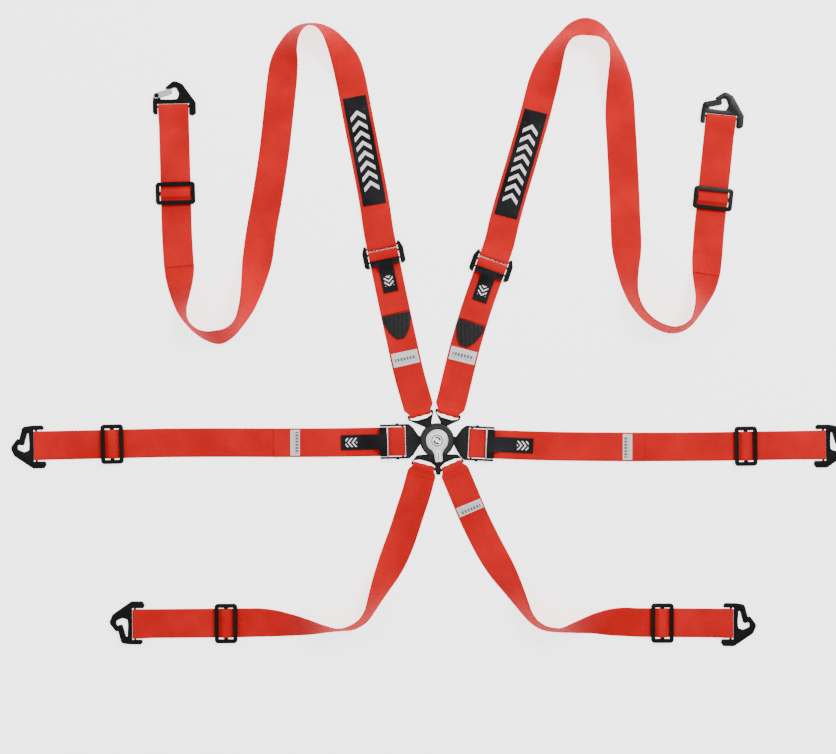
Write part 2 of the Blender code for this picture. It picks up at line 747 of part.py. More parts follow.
def frame_with_cheeks(name, outline, holes, cheeks, rod_place):
    """An adjuster's flat frame with a raised cheek on each rail, drilled for the hinge rod."""
    z1 = TONGUE_Z + TONGUE_T
    shell = Shell()
    bottoms, tops = plate_rings(shell, [outline] + holes, TONGUE_Z, z1, 0.4)
    for loop in cheeks:
        foot = shell.ring(loop, z1)
        head = shell.ring(loop, CHEEK_TOP)
        shell.wall(foot, head)
        shell.cap(head)
        tops.append(foot)
    shell.cap(*bottoms)
    shell.cap(*tops)
    frame = shell.finish(name, BLACK_STEEL)
    drill = rod("drill", ROD_R + 0.3, 50, 0, BLACK_STEEL, 12, rod_place)
    combine(frame, drill, "DIFFERENCE")


def clamp_and_tab(name, spot, hinge_at, plate_from, plate_to, rod_half, tab_to, join_rod):
    """The clamp lever that tilts on its hinge rod, and the webbing tab that lifts it."""
    place = spot.place(0, hinge_at, ROD_Z)
    low = LEVER_LOW - ROD_Z
    high = LEVER_HIGH - ROD_Z
    near = plate_from - hinge_at
    far = plate_to - hinge_at
    loop = rounded([(-24.5, near), (24.5, near), (24.5, far, 2), (-24.5, far, 2)])
    lever = plate(name + "_lever", [loop], low, high, BLACK_STEEL, 0.4, place)
    if join_rod:
        combine(lever, rod("joined_rod", ROD_R, rod_half, 0, BLACK_STEEL, 12, place), "UNION")
    else:
        rod(name + "_rod", ROD_R, rod_half, 0, SILVER, 12, place)
    top = TAB_Z - ROD_Z
    rest = TAB_REST - ROD_Z
    profile = [(near + 1.5, top), (far - 0.5, top)]
    for k in range(1, 6):
        profile.append((far - 0.5 + 14 * k / 5, top + (rest - top) * ease(k / 5)))
    profile.append((tab_to - hinge_at, rest))
    strip(name + "_tab", profile, TAB_W, TAB_T, BLACK_WEB, place)


def lap_adjuster(side):
    name = "lap_adjuster_" + side
    spot = adjuster_spot("lap_" + side)
    inner = LAP_WEB / 2 + STRAP_SIDE_GAP
    outer = inner + 3.6
    angle = TONGUE_ANGLES["lap_" + side]
    right, left = tip(angle, 27)
    half = [
        (9, -27, 3), (outer - 8, -16, 4), (outer, -8, 3), (outer, 6), (outer + 1.6, 7), (outer + 1.6, 11),
        (outer, 12), (outer, 38, 4), (inner, 38, 1), (inner, BAR_HALF, 0.5),
    ]
    other = [(-c[0],) + c[1:] for c in half[::-1]]
    outline = rounded(right + spot.outline(half + other) + left)
    slot = spot.outline([(-inner, -SLOT_EDGE), (inner, -SLOT_EDGE), (inner, -BAR_HALF), (-inner, -BAR_HALF)])
    cheek = [(inner + 0.7, 12), (outer - 0.7, 12), (outer - 0.7, 35), (inner + 0.7, 35)]
    cheeks = [spot.outline(cheek), spot.outline([(-x, y) for x, y in cheek])]
    frame_with_cheeks(name + "_frame", outline, [slot], cheeks, spot.place(0, 25, ROD_Z))
    clamp_and_tab(name, spot, 25, 25 + ROD_R + GAP, 38.5, outer + 1.5, 103, False)


def shoulder_adjuster(side):
    name = "shoulder_adjuster_" + side
    spot = adjuster_spot("shoulder_lower_" + side)
    inner = SHOULDER_WEB / 2 + STRAP_SIDE_GAP
    outer = inner + 8.6
    far_bar = -FAR_BAR
    half = [
        (inner, far_bar - BAR_HALF), (inner, far_bar - 5, 0.8), (inner + 4, far_bar - 5, 2),
        (outer, -4, 4), (outer, 20, 4), (inner + 4, 23, 2), (inner, 23, 0.8), (inner, BAR_HALF, 0.5),
    ]
    other = [(-c[0],) + c[1:] for c in half[::-1]]
    outline = rounded(spot.outline(half + other))
    slot = spot.outline([
        (-inner, far_bar + BAR_HALF), (inner, far_bar + BAR_HALF), (inner, -BAR_HALF), (-inner, -BAR_HALF),
    ])
    cheek = [(inner + 1, 6), (inner + 3.4, 6), (inner + 3.4, 21), (inner + 1, 21)]
    cheeks = [spot.outline(cheek), spot.outline([(-x, y) for x, y in cheek])]
    frame_with_cheeks(name + "_frame", outline, [slot], cheeks, spot.place(0, 13, ROD_Z))
    clamp_and_tab(name, spot, 13, 13, 21.5, inner + 5.2, 59, True)


# ---- belts with their ends -----------------------------------------------------------------------
UPPER_TAIL = 68.0                            # sewn end of an upper belt, from its bar
PULL_FROM = 104.0
PULL_LONG = 42.0


def shoulder_belts(side):
    lower = Belt(ROUTES["shoulder_lower_" + side], SHOULDER_WEB)
    lower.start_under(80, 20, NECK_WEB)
    lower.end_over(102, 27)
    lower.solid("shoulder_belt_lower_" + side, RED_WEB)

    upper = Belt(ROUTES["shoulder_" + side], SHOULDER_WEB)
    upper.start_under(UPPER_TAIL, 24)
    upper.end_over(BELT_END_TAIL["shoulder_" + side], 35)
    upper.solid("shoulder_belt_upper_" + side, RED_WEB)

    panel = Belt(ROUTES["shoulder_" + side], PANEL_W)
    start = 72
    over = WEB_T / 2 + GAP + 0.5
    panel.run(start - 1, UPPER_TAIL + 4, MID + over)
    panel.run(UPPER_TAIL + 4, UPPER_TAIL + 24, MID + over, LOW + over)
    panel.run(UPPER_TAIL + 24, start + 182, LOW + over)
    panel.solid("shoulder_panel_" + side, BLACK_WEB, 1.0)

    spot = adjuster_spot("shoulder_lower_" + side)
    end = PULL_FROM + PULL_LONG
    loop = rounded(spot.outline([
        (-22, PULL_FROM, 1), (22, PULL_FROM, 1), (19, PULL_FROM + 14, 6), (6, end, 5), (-6, end, 5),
        (-19, PULL_FROM + 14, 6),
    ]), 3)
    z = LOW + WEB_T / 2 + GAP
    plate("shoulder_pull_" + side, [loop], z, z + 2.2, BLACK_WEB, 0.5)


def lap_belt(side):
    belt = Belt(ROUTES["lap_" + side], LAP_WEB)
    belt.start_under(185, 30)
    belt.end_over(FREE_TAIL[side], 42)
    belt.solid("lap_belt_" + side, RED_WEB)


def crotch_belt(side):
    belt = Belt(ROUTES["crotch_" + side], LAP_WEB)
    belt.start_under(60, 20, NECK_WEB)
    belt.end_under(186 if side == "left" else 150, 30)
    belt.solid("crotch_belt_" + side, RED_WEB)


# ---- hooks and gates -----------------------------------------------------------------------------
GATE_PIVOT = (-26.8, 18.6)
GATE_LEAN = 15.0


def flipped(loop):
    return [(-c[0],) + tuple(c[1:]) for c in loop]


def snap_hook(belt):
    """A flat hook whose rear bar carries the belt; +Y is towards its tip, the gate is on the left."""
    mirror = flipped if belt == "lap_left" else list
    inner = max(SHOULDER_WEB, LAP_WEB) / 2 + STRAP_SIDE_GAP
    outline = [
        (inner, -BAR_HALF, 0.8), (inner, -14.5, 2), (31.6, -16.6, 3), (37.9, -12.6, 3), (37.9, 6, 4),
        (16.4, 37.2, 8), (2.5, 43.5, 8), (-12.6, 31.8, 2.2), (-11, 27.5, 1), (-3.7, 27.5, 1.5),
        (0, 30.8, 2), (5.5, 31, 3), (10.2, 20.5, 4), (7.2, 12.4, 3), (-2.5, 11.8, 2), (-20.5, 12.6, 1.5),
        (-21.9, 22.8, 4), (-31.8, 23.5, 4.5), (-33.9, 9, 4), (-34.2, -9.5, 3), (-31, -13, 2),
        (-inner, -12, 1.2), (-inner, -BAR_HALF, 0.8),
    ]
    slot = [(-inner, BAR_HALF), (inner, BAR_HALF), (inner, SLOT_EDGE), (-inner, SLOT_EDGE)]
    shell = Shell()
    loops = [rounded(mirror(outline)), mirror(slot)]
    half = HOOK_T / 2
    bottoms, tops = plate_rings(shell, loops, -half, half, 0.6)
    px, py = mirror([GATE_PIVOT])[0]
    for sign, rings in ((-1, bottoms), (1, tops)):
        under = half + 2 * GAP + GATE_SIDE
        pin = circle(px, py, 2.2, 10)
        head = circle(px, py, 3.9, 10)
        foot = shell.ring(pin, sign * half)
        neck = shell.ring(pin, sign * under)
        rim = shell.ring(head, sign * under)
        face = shell.ring(inset(head, 0.3), sign * (under + 0.5))
        shell.wall(foot, neck)
        shell.wall(neck, rim)
        shell.wall(rim, face)
        shell.cap(face)
        shell.cap(*rings, foot)
    spot = hook_spot(belt)
    shell.finish("hook_" + belt, BLACK_STEEL, spot.place(0, 0, AXIS_Z))
    return spot


def gate(belt, spot):
    """A folded sheet gate that straddles the hook plate and turns on its rivet."""
    mirror = flipped if belt == "lap_left" else list
    outline = rounded([
        (-4.9, -4.9, 4.6), (26, -4.3, 2.5), (26.6, 3.4, 2.5), (20, 5.1, 3), (-4.9, 4.9, 4.6),
    ], 3)
    web = [(6.5, 3.4), (16, 3.4), (16, 4.5), (6.5, 4.5)]
    hole = circle(0, 0, 2.5, 12)
    loops = [mirror([turned(x, y, GATE_LEAN) for x, y in loop]) for loop in (outline, hole, web)]
    near = HOOK_T / 2 + GAP
    far = near + GATE_SIDE
    shell = Shell()
    links = []
    for sign in (-1, 1):
        rings = [[shell.ring(loop, sign * z) for loop in loops[:2]] for z in (near, far)]
        for a, b in zip(*rings):
            shell.wall(a, b)
        link = shell.ring(loops[2], sign * near)
        shell.cap(*rings[1])
        shell.cap(*rings[0], link)
        links.append(link)
    shell.wall(*links)
    px, py = mirror([GATE_PIVOT])[0]
    slot = SILVER if belt == "shoulder_left" else BLACK_STEEL
    shell.finish("gate_" + belt, slot, spot.place(px, py, AXIS_Z))


# ---- sliders -------------------------------------------------------------------------------------
SLIDER_Z = PAIR + WEB_T + GAP


def slider(belt):
    """A three-bar slider over the belt's two layers, with the webbing that turns over its middle bar."""
    shell = Shell()
    b = SLIDER_WIDE / 2
    w = max(SHOULDER_WEB, LAP_WEB) / 2 + 1
    a = w + SLIDER_END
    h = SLIDER_WINDOW / 2
    bar = 3.5
    bar_top = SLIDER_Z + 1.3
    top = SLIDER_Z + SLIDER_T
    outline = rounded([(-a, -b, 6), (a, -b, 6), (a, b, 6), (-a, b, 6)], 3)
    levels = [
        (inset(outline, 0.8), SLIDER_Z), (outline, SLIDER_Z + 0.8),
        (outline, top - 0.8), (inset(outline, 0.8), top),
    ]
    rings = [shell.ring(loop, z) for loop, z in levels]
    for low, high in zip(rings, rings[1:]):
        shell.wall(low, high)
    window = [(-w, -bar), (-w, -h), (w, -h), (w, -bar), (w, bar), (w, h), (-w, h), (-w, bar)]
    sill = shell.ring(window, bar_top)
    brim = shell.ring(window, top)
    floor = shell.ring(window, SLIDER_Z)
    shell.wall(sill, brim)
    shell.cap(rings[-1], brim)
    for part in (slice(0, 4), slice(4, 8)):
        shell.wall(floor[part], sill[part])
    shell.bm.faces.new((sill[0], sill[3], sill[4], sill[7]))
    lower_a = floor[0:4]
    lower_b = floor[4:8]
    shell.cap(rings[0], lower_a, lower_b)
    spot = slider_spot(belt)
    shell.finish("slider_" + belt, BLACK_STEEL, spot.place(0, 0, 0))

    rest = PAIR + WEB_T / 2
    crown = bar_top + GAP + WEB_T / 2 + 0.2
    half = [(16.5, rest), (10.8, rest), (8.4, rest + 0.7), (5.6, crown - 0.9), (3.4, crown - 0.15)]
    profile = [(-y, z) for y, z in half] + [(0, crown)] + half[::-1]
    width = SHOULDER_WEB if belt.startswith("shoulder") else LAP_WEB
    strip("slider_turn_" + belt, profile, width, WEB_T, RED_WEB, spot.place(0, 0, 0))


# ---- the whole harness ---------------------------------------------------------------------------
buckle()
crotch_tongue()
for side in SIDES:
    shoulder_tongue(side)
    shoulder_adjuster(side)
    lap_adjuster(side)
    shoulder_belts(side)
    lap_belt(side)
    crotch_belt(side)
    for belt in ("shoulder_" + side, "lap_" + side, "crotch_" + side):
        gate(belt, snap_hook(belt))
        slider(belt)
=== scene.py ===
"""Racing harness laid flat: turn-lever buckle, webbing belts, adjusters, sliders and snap hooks."""

import math

import bmesh
import bpy
from mathutils import Matrix, Vector


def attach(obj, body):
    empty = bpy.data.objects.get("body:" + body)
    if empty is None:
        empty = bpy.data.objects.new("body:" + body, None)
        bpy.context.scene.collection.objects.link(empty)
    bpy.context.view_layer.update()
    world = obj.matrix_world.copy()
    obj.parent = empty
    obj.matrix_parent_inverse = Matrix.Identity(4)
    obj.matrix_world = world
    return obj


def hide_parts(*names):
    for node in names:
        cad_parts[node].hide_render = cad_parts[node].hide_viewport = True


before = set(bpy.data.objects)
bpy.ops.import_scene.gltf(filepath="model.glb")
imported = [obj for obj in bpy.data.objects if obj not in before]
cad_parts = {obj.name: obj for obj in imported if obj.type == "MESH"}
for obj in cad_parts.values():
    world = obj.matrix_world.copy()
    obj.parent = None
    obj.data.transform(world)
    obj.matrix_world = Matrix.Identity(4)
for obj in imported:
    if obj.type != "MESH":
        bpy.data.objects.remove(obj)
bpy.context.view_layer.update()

MM = 0.001
WEAVE = "weave"          # UV map of webbing: (across, along) in metres


# ---- camera, light and floor ---------------------------------------------------------------------
def studio():
    camera = bpy.data.cameras.new("camera")
    camera.sensor_width = 36
    camera.lens = 62.0
    holder = bpy.data.objects.new("camera", camera)
    holder.location = (-0.0317, 0.105, 2.4)
    bpy.context.scene.collection.objects.link(holder)
    bpy.context.scene.camera = holder

    bm = bmesh.new()
    bmesh.ops.create_grid(bm, x_segments=1, y_segments=1, size=6)
    mesh = bpy.data.meshes.new("floor")
    bm.to_mesh(mesh)
    bm.free()
    floor = bpy.data.objects.new("floor", mesh)
    bpy.context.scene.collection.objects.link(floor)
    mesh.materials.append(floor_paint())

    world = bpy.data.worlds.new("studio")
    world.use_nodes = True
    world.node_tree.nodes["Background"].inputs["Color"].default_value = (1, 1, 1, 1)
    world.node_tree.nodes["Background"].inputs["Strength"].default_value = 0.8
    bpy.context.scene.world = world

    def lamp(name, size, power, place, aim):
        data = bpy.data.lights.new(name, "AREA")
        data.shape = "RECTANGLE"
        data.size, data.size_y = size
        data.energy = power
        ob = bpy.data.objects.new(name, data)
        ob.location = place
        ob.rotation_euler = (Vector(aim) - Vector(place)).to_track_quat("-Z", "Y").to_euler()
        bpy.context.scene.collection.objects.link(ob)

    lamp("key", (1.2, 0.8), 66, (1.3, 1.5, 2.2), (0, 0.1, 0))
    lamp("side", (0.6, 2.0), 16, (-2.0, 0.6, 1.4), (0, 0.1, 0))
    lamp("strip", (2.2, 0.25), 10, (0.2, 2.4, 0.9), (0, 0, 0))
    lamp("top", (0.7, 0.7), 9, (0.05, -0.1, 2.9), (0.05, -0.1, 0))


# ---- materials -----------------------------------------------------------------------------------
class Amount:
    """A number that changes over a surface: arithmetic on it adds Math nodes."""

    def __init__(self, paint, socket):
        self.paint = paint
        self.socket = socket

    def math(self, operation, *others):
        values = dict(enumerate((self, *others)))
        return self.paint.amount("ShaderNodeMath", {"operation": operation}, values)

    def __rsub__(self, other):
        return self.paint.amount("ShaderNodeMath", {"operation": "SUBTRACT"}, {0: other, 1: self})

    def between(self, low, high):
        return (self > low) * (self < high)

    def step(self, low, high):
        """0 below low, 1 above high, smooth between."""
        settings = {"interpolation_type": "SMOOTHSTEP"}
        return self.paint.amount("ShaderNodeMapRange", settings, {0: self, 1: low, 2: high})


def maths(operation):
    return lambda amount, *others: amount.math(operation, *others)


for title, operation in (
    ("__add__", "ADD"), ("__radd__", "ADD"), ("__sub__", "SUBTRACT"), ("__truediv__", "DIVIDE"),
    ("__mul__", "MULTIPLY"), ("__rmul__", "MULTIPLY"), ("__pow__", "POWER"), ("__abs__", "ABSOLUTE"),
    ("__gt__", "GREATER_THAN"), ("__lt__", "LESS_THAN"), ("most", "MAXIMUM"), ("swing", "PINGPONG"),
    ("sine", "SINE"), ("floor", "FLOOR"), ("fraction", "FRACT"),
):
    setattr(Amount, title, maths(operation))


class Paint:
    """A procedural material: its nodes are added by one method."""

    def __init__(self, name, colour=(0.5, 0.5, 0.5), roughness=0.5, metallic=0.0, **fixed):
        self.material = bpy.data.materials.new(name)
        self.material.use_nodes = True
        self.material.diffuse_color = (*colour, 1.0)
        self.tree = self.material.node_tree
        self.shader = self.tree.nodes["Principled BSDF"]
        self.feed(self.shader, {"Base Color": colour, "Roughness": roughness, "Metallic": metallic})
        for key, value in fixed.items():
            title = key.replace("_", " ").title().replace("Ior", "IOR")
            self.shader.inputs[title].default_value = value

    def plug(self, socket, value):
        if isinstance(value, Amount):
            value = value.socket
        if isinstance(value, bpy.types.NodeSocket):
            self.tree.links.new(value, socket)
        elif socket.type == "RGBA":
            socket.default_value = (*value, 1.0)[:4]
        else:
            socket.default_value = value

    def feed(self, node, values):
        for key, value in values.items():
            self.plug(node.inputs[key], value)

    def node(self, kind, settings=None, values=None):
        made = self.tree.nodes.new(kind)
        for key, value in (settings or {}).items():
            setattr(made, key, value)
        self.feed(made, values or {})
        return made

    def amount(self, kind, settings=None, values=None):
        return Amount(self, self.node(kind, settings, values).outputs[0])

    def place(self):
        """The object's own coordinates."""
        return self.node("ShaderNodeTexCoord").outputs["Object"]

    def millimetres(self, vector):
        """The first two parts of a vector in metres."""
        parts = self.node("ShaderNodeSeparateXYZ", None, {0: vector})
        return [Amount(self, parts.outputs[i]) * 1000.0 for i in (0, 1)]

    def noise(self, vector, scale, detail=2.0, roughness=0.5, stretch=None):
        if stretch:
            values = {"Vector": vector, "Scale": stretch}
            vector = self.node("ShaderNodeMapping", None, values).outputs[0]
        values = {"Vector": vector, "Scale": scale, "Detail": detail, "Roughness": roughness}
        return self.amount("ShaderNodeTexNoise", None, values)

    def mix(self, factor, one, two):
        """Colours one and two mixed by factor."""
        made = self.node("ShaderNodeMix", {"data_type": "RGBA"})
        colours = [socket for socket in made.inputs if socket.type == "RGBA"]
        for socket, value in zip([made.inputs[0]] + colours, (factor, one, two)):
            self.plug(socket, value)
        return next(socket for socket in made.outputs if socket.type == "RGBA")

    def dress(self, colour, roughness, height, distance, strength):
        """What changes over the surface: its colour, its roughness and its bumps."""
        values = {"Height": height, "Distance": distance, "Strength": strength}
        bump = self.node("ShaderNodeBump", None, values).outputs[0]
        self.feed(self.shader, {"Base Color": colour, "Roughness": roughness, "Normal": bump})
        return self


def scaled(colour, by, plus=0.0):
    return tuple(c * by + plus for c in colour)


def floor_paint():
    glow = {"emission_color": (1, 1, 1, 1), "emission_strength": 2.4}
    paint = Paint("floor_white", (0.86, 0.86, 0.86), 0.8, **glow)
    grain = paint.noise(paint.place(), 4.0, 3.0)
    colour = paint.mix(grain, (0.85, 0.85, 0.86), (0.87, 0.87, 0.87))
    paint.feed(paint.shader, {"Base Color": colour})
    return paint.material


def webbing(name, base, dark, light, rib=1.25, slub=0.5, marks=None, white=(0.8, 0.8, 0.8)):
    """Woven webbing: ribs in a herringbone with painted shade in the grooves between them, streaks along
    the belt, fuzz, and printed marks.
    """
    paint = Paint(name, base, 0.78, sheen_weight=0.04, sheen_roughness=0.4, specular_ior_level=0.07)
    uv = paint.node("ShaderNodeUVMap", {"uv_map": WEAVE}).outputs[0]
    across, along = paint.millimetres(uv)
    column = (across / rib).floor()
    within = (across / rib).fraction()
    round_rib = (within * math.pi).sine()
    turn = (column / 6.0).floor().swing(1.0)
    shift = (column / 6.0).fraction() * (turn * 2.0 - 1.0)
    over = ((along / 2.6 + shift * 2.0).fraction() * math.pi).sine()
    height = round_rib ** 0.6 * 0.55 + over ** 0.8 * 0.45
    streak = paint.noise(uv, 900.0, 2.0, 0.6, (1.0, 0.03, 1.0))
    cloud = paint.noise(paint.place(), 14.0, 3.0, 0.55)
    shade = paint.mix(cloud.step(0.25, 0.8), dark, light)
    # painted shade: darker colour in the low grooves between ribs, mixed with random streaks along the
    # belt
    groove_shade_and_streaks = paint.mix(height.step(0.1, 0.85) * 0.55 + streak * 0.35, dark, shade)
    cloth = paint.mix(slub, shade, groove_shade_and_streaks)
    if marks:
        frayed = paint.noise(uv, 1500.0, 2.0) * 0.25 + 0.82
        cloth = paint.mix(marks(paint, across, along) * frayed, cloth, white)
    fuzz = paint.noise(uv, 2600.0, 1.0)
    return paint.dress(cloth, 0.68 + cloud * 0.2, height * 0.85 + fuzz * 0.15, 0.00035, 0.8)


def coated_steel(name, base=(0.003, 0.003, 0.0033), roughness=0.3):
    """Satin black powder coat: fine orange peel, faint scuffs and lighter rubbed patches."""
    paint = Paint(name, base, roughness, 0.0, specular_ior_level=0.14)
    place = paint.place()
    peel = paint.noise(place, 1400.0, 2.0)
    cloud = paint.noise(place, 60.0, 4.0, 0.65)
    scuff = paint.noise(place, 420.0, 3.0, 0.7, (1.0, 0.16, 1.0)).step(0.6, 0.78)
    colour = paint.mix(scuff * cloud.step(0.45, 0.75) * 0.6, base, scaled(base, 4, 0.006))
    height = peel * 0.7 + cloud * 0.3
    return paint.dress(colour, roughness - 0.06 + cloud * 0.16, height, 0.00006, 0.5)


def bright_metal(name, base, roughness, brushed=(1.0, 30.0, 1.0)):
    paint = Paint(name, base, roughness, 1.0)
    place = paint.place()
    lines = paint.noise(place, 260.0, 3.0, 0.6, brushed)
    cloud = paint.noise(place, 45.0, 3.0)
    colour = paint.mix(lines * 0.5 + cloud * 0.5, scaled(base, 0.82), base)
    rough = roughness - 0.05 + lines * 0.12 + cloud * 0.06
    return paint.dress(colour, rough, lines, 0.00002, 0.4)


def moulded(name, base, roughness):
    """Moulded plastic with a fine spark-eroded grain."""
    paint = Paint(name, base, roughness, 0.0, specular_ior_level=0.25)
    place = paint.place()
    grain = paint.noise(place, 2200.0, 2.0)
    cloud = paint.noise(place, 80.0, 3.0)
    colour = paint.mix(cloud, base, scaled(base, 1.6))
    return paint.dress(colour, roughness - 0.05 + grain * 0.12, grain, 0.00005, 0.5)


def chevrons(first, last, half, pitch, thick):
    """White arrowheads printed along the webbing between two distances."""
    def marks(paint, across, along):
        inside = along.between(first, last) * (abs(across) < half)
        return inside * (((along + abs(across) * 0.85) / pitch).fraction() < thick)
    return marks


def dashes(half, rows):
    """Short woven dashes in rows across a label."""
    def marks(paint, across, along):
        total = None
        for low, high, pitch, part in rows:
            row = along.between(low, high) * (abs(across) < half) * ((across / pitch).fraction() < part)
            total = row if total is None else total.most(row)
        return total
    return marks


def ribbed(name, base):
    """Rubbery ribbed webbing of a pull loop, from the piece's own coordinates, with a painted highlight
    on its rib crests.
    """
    paint = Paint(name, base, 0.45, specular_ior_level=0.25)
    place = paint.place()
    x, y = paint.millimetres(place)
    rows = ((y / 2.2 + (x / 7.0).fraction().swing(0.5) * 2.0).fraction() * math.pi).sine()
    cloud = paint.noise(place, 90.0, 3.0)
    # painted highlight: lighter colour on the rib crests, made patchy by a cloud noise
    crest_highlight = rows.step(0.45, 0.95) * cloud.step(0.3, 0.7) * 0.5
    colour = paint.mix(crest_highlight, base, scaled(base, 3.0, 0.004))
    return paint.dress(colour, 0.42 + cloud * 0.2, rows, 0.0004, 0.8)


RED_LIGHT = (0.66, 0.010, 0.011)
BLACK_BASE = (0.012, 0.012, 0.013)
BLACK_DARK = (0.004, 0.004, 0.005)
BLACK_LIGHT = (0.028, 0.028, 0.031)
WHITE = (0.84, 0.84, 0.84)
GREY = (0.10, 0.10, 0.11)
RED = webbing("red_webbing", (0.60, 0.008, 0.009), (0.46, 0.005, 0.006), RED_LIGHT)
BLACK = (BLACK_BASE, BLACK_DARK, BLACK_LIGHT)
PANEL = webbing("panel_cloth", *BLACK, 0.7, 0.8, chevrons(24, 160, 12.5, 17.0, 0.42), WHITE)
TAB_LONG = webbing("tab_webbing_long", *BLACK, 1.6, 0.9, chevrons(50, 69, 7.5, 7.0, 0.42), WHITE)
TAB_SHORT = webbing("tab_webbing_short", *BLACK, 1.6, 0.9, chevrons(27, 44, 7.5, 7.0, 0.42), WHITE)
LABEL_ROWS = ((8.0, 13.5, 5.2, 0.66), (4.6, 5.6, 2.4, 0.6))   # from, to, pitch and share of a dash
LABEL_CLOTH = ((0.78, 0.78, 0.78), (0.66, 0.66, 0.67), WHITE)
LABEL = webbing("label_cloth", *LABEL_CLOTH, 0.6, 0.6, dashes(18.0, LABEL_ROWS), GREY)
PULL = ribbed("pull_webbing", (0.004, 0.004, 0.0045))
STEEL = coated_steel("black_coated_steel")
SILVER = bright_metal("satin_silver", (0.9, 0.9, 0.91), 0.26)
BADGE_FACE = bright_metal("badge_face", (0.86, 0.86, 0.87), 0.3)
ROD = bright_metal("plated_rod", (0.8, 0.8, 0.82), 0.18, (30.0, 1.0, 1.0))
HOUSING = moulded("housing_plastic", (0.006, 0.006, 0.0065), 0.3)
INNER = bright_metal("plain_steel", (0.5, 0.5, 0.52), 0.3)
RED_THREAD = Paint("red_thread", (0.74, 0.015, 0.016), 0.6, specular_ior_level=0.2)
BLACK_THREAD = Paint("black_thread", (0.03, 0.03, 0.03), 0.6, specular_ior_level=0.2)

# ---- sizes in millimetres -------------------------------------------------------------------------
SHOULDER_WEB = 50.0      # webbing width of the shoulder belts
LAP_WEB = 48.0           # webbing width of the lap and crotch belts
WEB_T = 1.3              # webbing thickness
GAP = 0.3                # clearance between neighbouring pieces
FLOOR_GAP = 0.1          # lowest webbing above the ground plane
STRAP_SIDE_GAP = 1.2     # webbing edge to the metal beside it

BIGHT_IN = 3.0           # inner radius of webbing wrapped round a bar
BAR_HALF = 1.8           # half width of a flat bar that carries webbing
SLOT_EDGE = 4.7          # bar centre to the far edge of its slot

TONGUE_Z = 2.9           # underside of the tongues
TONGUE_T = 3.0
NECK_WEB = 36.0          # webbing width where it is gathered at a tongue
PIN_AT = 19.0            # latch pins from the buckle's centre
PIN_HOLE_R = 3.1

BUCKLE_R = 28.5
BUCKLE_TOP = 16.4
BASE_T = 2.6
SPINDLE_R = 4.2
LEVER_R = 18.5
LEVER_REACH = 35.5
LEVER_T = 3.5
LEVER_TURN = 5.0
BADGE_R = 11.0

HOOK_T = 4.0             # hook plate
GATE_SIDE = 0.8          # sheet of the folded gate
SLIDER_LONG = 66.0       # slider across the belt
SLIDER_WIDE = 38.0       # slider along the belt
SLIDER_WINDOW = 24.0     # its window, along the belt
SLIDER_INNER = 26.0      # half its window, across the belt
SLIDER_BAR = 7.0         # its middle bar, along the belt
SLIDER_T = 3.5

PANEL_W = 39.0
TAB_W = 25.0
TAB_T = 1.2

# heights that follow from the above
LOW = FLOOR_GAP + WEB_T / 2                 # centre of a layer on the ground
MID = LOW + WEB_T + GAP                     # centre of a layer on top of it
BIGHT_R = BIGHT_IN + WEB_T / 2              # centre radius of a wrapped layer
AXIS_Z = LOW + BIGHT_R                      # height of every wrapped bar
TOP = AXIS_Z + BIGHT_R                      # centre of a layer leaving over a bar
STACK = MID + WEB_T / 2                     # top of two layers
PAIR = STACK + GAP                          # lowest place for what lies on two layers


# ---- solids --------------------------------------------------------------------------------------
def turned(x, y, degrees):
    a = math.radians(degrees)
    return (x * math.cos(a) - y * math.sin(a), x * math.sin(a) + y * math.cos(a))


def area(loop):
    pairs = zip(loop, loop[1:] + loop[:1])
    return sum(a[0] * b[1] - b[0] * a[1] for a, b in pairs) / 2


def circle(x, y, r, count):
    angles = [2 * math.pi * i / count for i in range(count)]
    return [(x + r * math.cos(a), y + r * math.sin(a)) for a in angles]


def arc(r, start, stop, count):
    """Points on a circle about the origin, from one angle to another."""
    return [turned(r, 0, start + (stop - start) * k / count) for k in range(count + 1)]


def flipped(loop):
    return [(-c[0],) + tuple(c[1:]) for c in loop]


def rounded(corners, steps=6):
    """A closed outline from corners (x, y) or (x, y, radius)."""
    out = []
    count = len(corners)
    for i, corner in enumerate(corners):
        here = Vector(corner[:2])
        radius = corner[2] if len(corner) > 2 else 0.0
        if radius <= 0:
            out.append(tuple(here))
            continue
        back = Vector(corners[i - 1][:2]) - here
        ahead = Vector(corners[(i + 1) % count][:2]) - here
        half = back.angle(ahead) / 2
        cut = min(radius / math.tan(half), 0.48 * back.length, 0.48 * ahead.length)
        radius = cut * math.tan(half)
        middle = here + (back.normalized() + ahead.normalized()).normalized() * radius / math.sin(half)
        start = here + back.normalized() * cut - middle
        sweep = start.angle_signed(here + ahead.normalized() * cut - middle)
        for k in range(steps + 1):
            p = start.copy()
            p.rotate(Matrix.Rotation(-sweep * k / steps, 2))
            out.append(tuple(middle + p))
    return out


def inset(loop, by):
    """The loop moved by towards its left side, which is where the material is."""
    out = []
    count = len(loop)
    for i in range(count):
        here = Vector(loop[i])
        one = (here - Vector(loop[i - 1])).normalized()
        two = (Vector(loop[(i + 1) % count]) - here).normalized()
        n1 = Vector((-one.y, one.x))
        n2 = Vector((-two.y, two.x))
        out.append(tuple(here + (n1 + n2) * by / (1.0 + max(n1.dot(n2), -0.5))))
    return out


